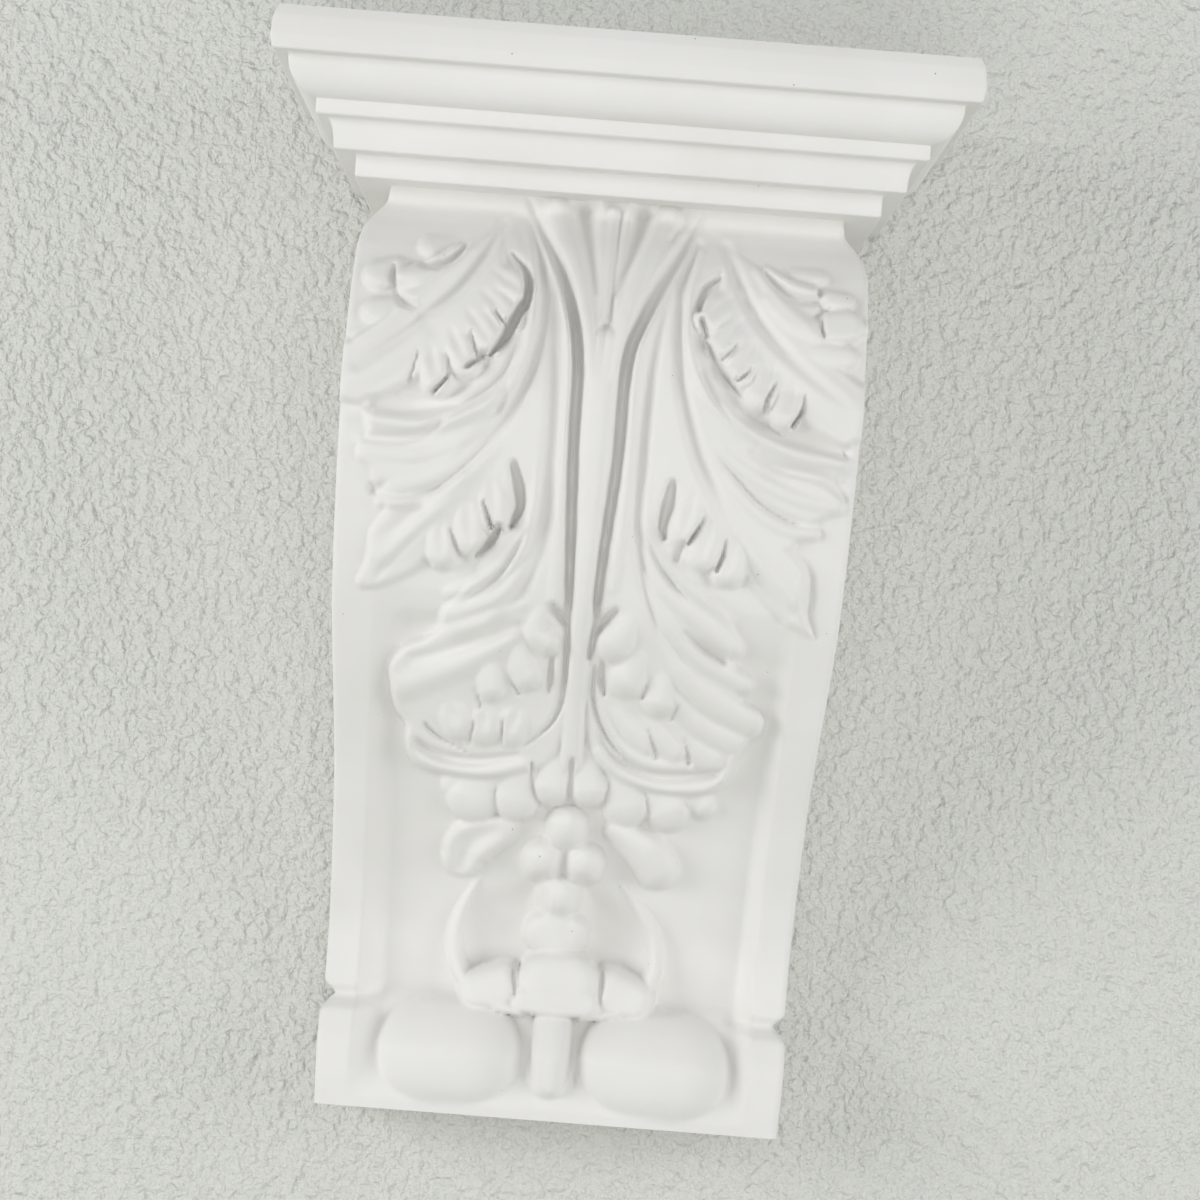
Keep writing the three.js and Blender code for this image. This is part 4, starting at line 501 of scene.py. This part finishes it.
# Slits between neighbouring lobes.
cut(LEFT, [[31, 228.4], [26.8, 223.4]], [.5, .8], [1.4, -1.6])
cut(LEFT, [[36.6, 221.8], [34.4, 214.4]], [.5, .8], [1.4, -1.6])
cut(LEFT, [[42.6, 215.4], [42, 209.6], [45.4, 204.8]], [.5, .7, .8], [1.4, 0, -1.2])
cut(LEFT, [[50.6, 214.8], [52.4, 207.4], [55.6, 203.4]], [.5, .7, .8], [1.4, 0, -1.2])
cut(LEFT, [[30, 176.8], [27.4, 170.2]], [.5, .8], [1, -2.2])
cut(LEFT, [[38.8, 169], [36.4, 163.4], [34.2, 160.2]], [.5, .7, .8], [1, 0, -1.4])
cut(LEFT, [[29.4, 127.2], [27.6, 120.8]], [.5, .8], [1, -1.4])
cut(LEFT, [[20.6, 130.4], [17, 125]], [.5, .8], [1, -1.6])
cut(LEFT, [[29, 117], [30.2, 109.8]], [.5, .8], [1, -1])
cut(LEFT, [[21, 117.4], [21.2, 110.2]], [.5, .8], [1, -.8])
cut(RIGHT, [[46.4, 214], [44.4, 209.6], [43.6, 205.2]], [.5, .7, .8], [1, -.6, -1.8])
cut(RIGHT, [[54.6, 211.4], [54, 207], [51.6, 203]], [.5, .8, .7], [1, -2.4, -2])
cut(RIGHT, [[35, 223.6], [31.2, 219]], [.6, .9], [1.6, .6])
cut(RIGHT, [[39.4, 217.2], [36.2, 214]], [.6, .9], [1.6, .6])
cut(RIGHT, [[30.2, 177], [28.8, 173.6], [26.6, 169.8]], [.5, .8, .7], [1, -2.2, -1.6])
cut(RIGHT, [[36.6, 171.4], [36.4, 167.6], [35, 163.2]], [.5, .8, .7], [1, -2.8, -2])
cut(RIGHT, [[44.2, 165], [42.8, 159.8]], [.5, .8], [1, -1.6])
cut(RIGHT, [[19.4, 132.4], [18, 126.6]], [.5, .8], [1, -1.8])
cut(RIGHT, [[28.2, 125.4], [26.8, 121.2]], [.6, 1], [1, -1.2])
cut(RIGHT, [[20, 118.4], [21.8, 114], [23.4, 110]], [.6, .8, 1.1], [1.2, 0, -.8])
cut(RIGHT, [[28, 121], [31.4, 114.6]], [.6, .8], [1.4, .6])

# Slits between the drops.
cut(MID, [[-22.4, 98.4], [-21.8, 94], [-21.6, 90.4]], [.5, .8, .7], -2.4, 2)
cut(MID, [[-12, 105.4], [-11.4, 99], [-9.6, 94]], [.5, .8, .7], -2.4, 2)
cut(MID, [[-.5, 107], [-.5, 97]], [1, 1.1], -3, 3)
cut(MID, [[11, 102.4], [9.6, 93.8]], [.5, .8], -2.4, 2)
cut(MID, [[21.4, 99.4], [22.4, 95], [23.6, 90.8]], [.5, .8, .7], -2.4, 2)
cut(MID, [[32.6, 97.4], [34.6, 94.8], [35.6, 89.4]], [.5, .8, .7], -2.4, 2)

# Poured plaster has no knife-sharp edges, so the relief is softened by a fraction of a millimetre.
SOFTEN = .3
edge = np.pad(relief, 1, mode="edge")
around = (edge[:-2, 1:-1] + edge[2:, 1:-1] + edge[1:-1, :-2] + edge[1:-1, 2:]) / 4
relief += (around - relief) * SOFTEN


def arc(low, high, hollow_out, steps):
    """A quarter curve of a moulding between two corners: a cavetto where it is hollow, else an ovolo."""
    turns = [math.pi / 2 * k / steps for k in range(steps + 1)]
    (w0, z0), (w1, z1) = low, high
    if hollow_out:
        return [[w0 + (w1 - w0) * (1 - math.cos(a)), z0 + (z1 - z0) * math.sin(a)] for a in turns]
    return [[w0 + (w1 - w0) * math.sin(a), z0 + (z1 - z0) * (1 - math.cos(a))] for a in turns]


EASE_LIMIT = .4


def eased(outline, by):
    """The outline with each of its corners taken off, by no more than a part of the sides beside it."""
    p = [Vector(q) for q in outline]
    out = [p[0]]
    for before, here, after in zip(p, p[1:], p[2:]):
        out += [here + (next_to - here) * min(EASE_LIMIT, by / (next_to - here).length)
                for next_to in (before, after)]
    return out + [p[-1]]


# The crown, from its soffit up, as half width and height: fillets, a cavetto, an ovolo and a square cap.
# Its face stands as far out as its half width, less the backset.
CROWN_BACKSET = 4.9
CROWN_EASE, CROWN_ROUND = .35, .5
soffit_and_fillet = [[64.2, BODY_TOP], [73.5, 265.1], [73.5, 271.2]]
cavetto = arc([79.4, 271.3], [81.6, 279.4], hollow_out=True, steps=6)
middle_fillet = [[84.5, 279.6], [84.5, 283.7]]
ovolo = arc([84.5, 283.8], [92.1, 292.8], hollow_out=False, steps=8)
square_cap = [[92.1, 293.8], [96.2, 293.9], [96.9, 297.5], [96.4, 303], [95.2, HEIGHT]]
crown = eased(soffit_and_fillet + cavetto + middle_fillet + ovolo + square_cap, CROWN_EASE)[1:]

face = np.stack([X, -(along(PROFILE, Z) + relief), Z], -1)
for w, z in crown:
    across = column_u * (w - CROWN_ROUND)
    row = np.stack([across, np.full_like(across, CROWN_BACKSET - w), np.full_like(across, z)], -1)
    face = np.concatenate([face, row[None]])
body_rounds = np.full(BODY_ROWS + 1, CORNER_ROUND)
rounds = np.concatenate([body_rounds, np.full(len(crown), CROWN_ROUND)])[:, None]


def flank(edge_points, way):
    """The side of the block, from the wall to the front corner, with the corner's rounding."""
    half_width, depth = np.abs(edge_points[:, :1]) + rounds, -edge_points[:, 1:2] - rounds
    back = np.linspace(0, 1, SIDE_COLUMNS + 1)[None, :-1]
    turn = np.linspace(0, np.pi / 2, CORNER_COLUMNS + 1)[None, :-1]
    x = np.concatenate([half_width + 0 * back, half_width - rounds + rounds * np.cos(turn)], 1)
    y = np.concatenate([-depth * back, -depth - rounds * np.sin(turn)], 1)
    return np.stack([way * x, y, np.repeat(edge_points[:, 2:], x.shape[1], 1)], -1)


shell = np.concatenate([flank(face[:, 0], LEFT), face, flank(face[:, -1], RIGHT)[:, ::-1]], 1)
MM_PER_M = 1000
shell = (shell - [0, 0, HEIGHT / 2]) / MM_PER_M
last_row, last_column = shell.shape[0] - 1, shell.shape[1] - 1

# The mesh is a flat sheet with the same rows and columns, bent to the shell, then closed by a bottom, a
# top and a back. Only the crown's corners and the edges of those three are sharp.
bm = bmesh.new()
bmesh.ops.create_grid(bm, x_segments=last_column, y_segments=last_row, size=.5)
grid = {}
for v in bm.verts:
    place = round((v.co.y + .5) * last_row), round((v.co.x + .5) * last_column)
    v.co = shell[place]
    grid[place] = v
bottom = [grid[0, c] for c in range(last_column + 1)]
top = [grid[last_row, c] for c in range(last_column + 1)]
left_edge = [grid[r, 0] for r in range(last_row + 1)]
right_edge = [grid[r, last_column] for r in range(last_row + 1)]
caps = [bm.faces.new(bottom[::-1]), bm.faces.new(top), bm.faces.new(left_edge + right_edge[::-1])]
bmesh.ops.recalc_face_normals(bm, faces=bm.faces[:])
CREASE = math.radians(25)
CROWN_STARTS = (BODY_TOP - HEIGHT / 2) / MM_PER_M - 1e-6
for f in bm.faces:
    f.smooth = True
for e in bm.edges:
    in_crown = min(v.co.z for v in e.verts) > CROWN_STARTS
    if (in_crown or any(f in caps for f in e.link_faces)) and e.calc_face_angle(0) > CREASE:
        e.smooth = False
corbel_mesh = bpy.data.meshes.new("corbel_casting")
bm.to_mesh(corbel_mesh)
bm.free()
casting = bpy.data.objects.new("corbel_casting", corbel_mesh)
bpy.context.scene.collection.objects.link(casting)

# White casting plaster, unpainted: matt and chalky, very slightly uneven in tone, with the tiny pinholes
# that air bubbles leave at a mould's face. Each pinhole is dented by a bump and darkened in the colour;
# that darkening is painted shade inside the hole.
PLASTER_DARK, PLASTER_LIGHT, PINHOLE_PAINTED_SHADE = (.80, .795, .77), (.84, .835, .815), (.35, .35, .34)
TONE_SCALE, GRAIN_SCALE, PINHOLE_SCALE = 28, 420, 100
PINHOLE_INNER, PINHOLE_OUTER = .012, .026
GRAIN_STRENGTH, GRAIN_DEPTH = .35, .00012
PINHOLE_STRENGTH, PINHOLE_DEPTH = .6, .0003
plaster = bpy.data.materials.new("white_plaster")
plaster.use_nodes = True
nodes, links = plaster.node_tree.nodes, plaster.node_tree.links
shader = nodes["Principled BSDF"]
shader.inputs["Roughness"].default_value = .62
shader.inputs["Specular IOR Level"].default_value = .35
where = nodes.new("ShaderNodeTexCoord")


def noise(scale, detail, roughness=.5):
    """An uneven pattern through the block."""
    n = nodes.new("ShaderNodeTexNoise")
    n.inputs["Scale"].default_value = scale
    n.inputs["Detail"].default_value = detail
    n.inputs["Roughness"].default_value = roughness
    links.new(where.outputs["Object"], n.inputs["Vector"])
    return n.outputs["Fac"]


def ramp(source, low, high, dark, light):
    """A colour or grey that follows a pattern between two of its values."""
    r = nodes.new("ShaderNodeValToRGB")
    r.color_ramp.elements[0].position, r.color_ramp.elements[1].position = low, high
    r.color_ramp.elements[0].color, r.color_ramp.elements[1].color = (*dark, 1), (*light, 1)
    links.new(source, r.inputs["Fac"])
    return r.outputs["Color"]


def bump(height, strength, distance):
    """A bump node that reads a pattern as heights."""
    b = nodes.new("ShaderNodeBump")
    b.inputs["Strength"].default_value = strength
    b.inputs["Distance"].default_value = distance
    links.new(height, b.inputs["Height"])
    return b


tone = ramp(noise(TONE_SCALE, 4), .3, .7, PLASTER_DARK, PLASTER_LIGHT)
specks = nodes.new("ShaderNodeTexVoronoi")
specks.inputs["Scale"].default_value = PINHOLE_SCALE
links.new(where.outputs["Object"], specks.inputs["Vector"])
# Pinholes: the voronoi dots darken the plaster's colour as painted shade inside the holes, and the same
# dots drive the bump that dents them.
pinhole_depth_and_painted_shade = ramp(specks.outputs["Distance"], PINHOLE_INNER, PINHOLE_OUTER, PINHOLE_PAINTED_SHADE, (1, 1, 1))
tone_and_painted_pinhole_shade = nodes.new("ShaderNodeMix")
tone_and_painted_pinhole_shade.data_type, tone_and_painted_pinhole_shade.blend_type = "RGBA", "MULTIPLY"
tone_and_painted_pinhole_shade.inputs["Factor"].default_value = 1
links.new(tone, tone_and_painted_pinhole_shade.inputs["A"])
links.new(pinhole_depth_and_painted_shade, tone_and_painted_pinhole_shade.inputs["B"])
links.new(tone_and_painted_pinhole_shade.outputs["Result"], shader.inputs["Base Color"])
grain = bump(noise(GRAIN_SCALE, 6, .6), GRAIN_STRENGTH, GRAIN_DEPTH)
pits = bump(pinhole_depth_and_painted_shade, PINHOLE_STRENGTH, PINHOLE_DEPTH)
links.new(grain.outputs["Normal"], pits.inputs["Normal"])
links.new(pits.outputs["Normal"], shader.inputs["Normal"])
casting.data.materials.append(plaster)

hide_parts("corbel")
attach(casting, "root")

# The studio: a pale wall with a stippled coat right behind the corbel, and a pale floor below. The wall is
# seen from the front only. Rays that end on it within a few millimetres pass, so the narrow gap lets
# light through to the corbel's back.
WALL_Y, FLOOR_Z, REACH = .001, -.75, 1.6
STIPPLE_SCALE, STIPPLE_STRENGTH, STIPPLE_DEPTH = 340, .9, .0036
GAP_LIGHT_REACH = .008


def plain(name, colour):
    """A matt, plain material for the studio."""
    m = bpy.data.materials.new(name)
    m.use_nodes = True
    m.node_tree.nodes["Principled BSDF"].inputs["Base Color"].default_value = (*colour, 1)
    m.node_tree.nodes["Principled BSDF"].inputs["Roughness"].default_value = .9
    return m


def sheet(name, corners, material):
    """A flat sheet that isn't part of the corbel."""
    bm = bmesh.new()
    bm.faces.new([bm.verts.new(c) for c in corners])
    mesh = bpy.data.meshes.new(name)
    bm.to_mesh(mesh)
    bm.free()
    mesh.materials.append(material)
    made = bpy.data.objects.new(name, mesh)
    bpy.context.scene.collection.objects.link(made)


wall_paint = plain("wall_paint", (.73, .74, .70))
wall_nodes, wall_links = wall_paint.node_tree.nodes, wall_paint.node_tree.links
stipple = wall_nodes.new("ShaderNodeTexNoise")
stipple.inputs["Scale"].default_value = STIPPLE_SCALE
stipple.inputs["Detail"].default_value = 3
wall_links.new(wall_nodes.new("ShaderNodeTexCoord").outputs["Object"], stipple.inputs["Vector"])
stippled = wall_nodes.new("ShaderNodeBump")
stippled.inputs["Strength"].default_value = STIPPLE_STRENGTH
stippled.inputs["Distance"].default_value = STIPPLE_DEPTH
wall_links.new(stipple.outputs["Fac"], stippled.inputs["Height"])
wall_links.new(stippled.outputs["Normal"], wall_nodes["Principled BSDF"].inputs["Normal"])
seen_through = wall_nodes.new("ShaderNodeBsdfTransparent")
one_sided = wall_nodes.new("ShaderNodeMixShader")
in_gap = wall_nodes.new("ShaderNodeMath")
in_gap.operation = "LESS_THAN"
in_gap.inputs[1].default_value = GAP_LIGHT_REACH
wall_links.new(wall_nodes.new("ShaderNodeLightPath").outputs["Ray Length"], in_gap.inputs[0])
either = wall_nodes.new("ShaderNodeMath")
either.operation = "MAXIMUM"
wall_links.new(wall_nodes.new("ShaderNodeNewGeometry").outputs["Backfacing"], either.inputs[0])
wall_links.new(in_gap.outputs["Value"], either.inputs[1])
wall_links.new(either.outputs["Value"], one_sided.inputs["Fac"])
wall_links.new(wall_nodes["Principled BSDF"].outputs["BSDF"], one_sided.inputs[1])
wall_links.new(seen_through.outputs["BSDF"], one_sided.inputs[2])
wall_links.new(one_sided.outputs["Shader"], wall_nodes["Material Output"].inputs["Surface"])
wall_corners = [(-REACH, WALL_Y, FLOOR_Z), (REACH, WALL_Y, FLOOR_Z), (REACH, WALL_Y, REACH),
                (-REACH, WALL_Y, REACH)]
floor_corners = [(-REACH, -2 * REACH, FLOOR_Z), (REACH, -2 * REACH, FLOOR_Z), (REACH, REACH, FLOOR_Z),
                 (-REACH, REACH, FLOOR_Z)]
sheet("wall", wall_corners, wall_paint)
sheet("floor", floor_corners, plain("floor_paint", (.6, .6, .58)))


def softbox(name, place, aim, size, watts):
    """A square, soft lamp that points from its place at its aim."""
    lamp = bpy.data.lights.new(name, "AREA")
    lamp.shape, lamp.size, lamp.energy = "SQUARE", size, watts
    made = bpy.data.objects.new(name, lamp)
    made.location = place
    made.rotation_euler = (Vector(aim) - Vector(place)).to_track_quat("-Z", "Y").to_euler()
    bpy.context.scene.collection.objects.link(made)


# The strongest lamp stands left, a weaker one right, and the other two fill the shadows from below and
# from the front.
CORBEL_MIDDLE = (0, -.05, 0)
softbox("left_light", place=(-1.1, -.65, .15), aim=CORBEL_MIDDLE, size=.6, watts=6.9)
softbox("right_light", place=(1.1, -.65, .1), aim=CORBEL_MIDDLE, size=.7, watts=4.8)
softbox("low_light", place=(0, -1, -.7), aim=(0, -.05, -.05), size=.9, watts=4.6)
softbox("front_light", place=(.3, -1.9, .35), aim=CORBEL_MIDDLE, size=1.2, watts=4.2)
world = bpy.data.worlds.new("studio_air")
world.use_nodes = True
world.node_tree.nodes["Background"].inputs["Color"].default_value = (1, 1, 1, 1)
world.node_tree.nodes["Background"].inputs["Strength"].default_value = .35
bpy.context.scene.world = world
bpy.context.scene.view_settings.view_transform = "Standard"

# The camera stands straight in front of the corbel, a little below its middle, and leans to one side as
# the photographer's did.
CAMERA_FROM_WALL, EYE_LEVEL, LEAN = .8, -.0225, math.radians(-4.5)
camera = bpy.data.cameras.new("camera")
LENS, SENSOR, SHIFT_ACROSS, SHIFT_UP = 78.9, 36, .0167, .066
camera.lens, camera.sensor_width = LENS, SENSOR
camera.shift_x, camera.shift_y = SHIFT_ACROSS, SHIFT_UP
view = bpy.data.objects.new("camera", camera)
view.location = (0, -CAMERA_FROM_WALL, EYE_LEVEL)
view.rotation_euler = (math.radians(90), LEAN, 0)
bpy.context.scene.collection.objects.link(view)
bpy.context.scene.camera = view
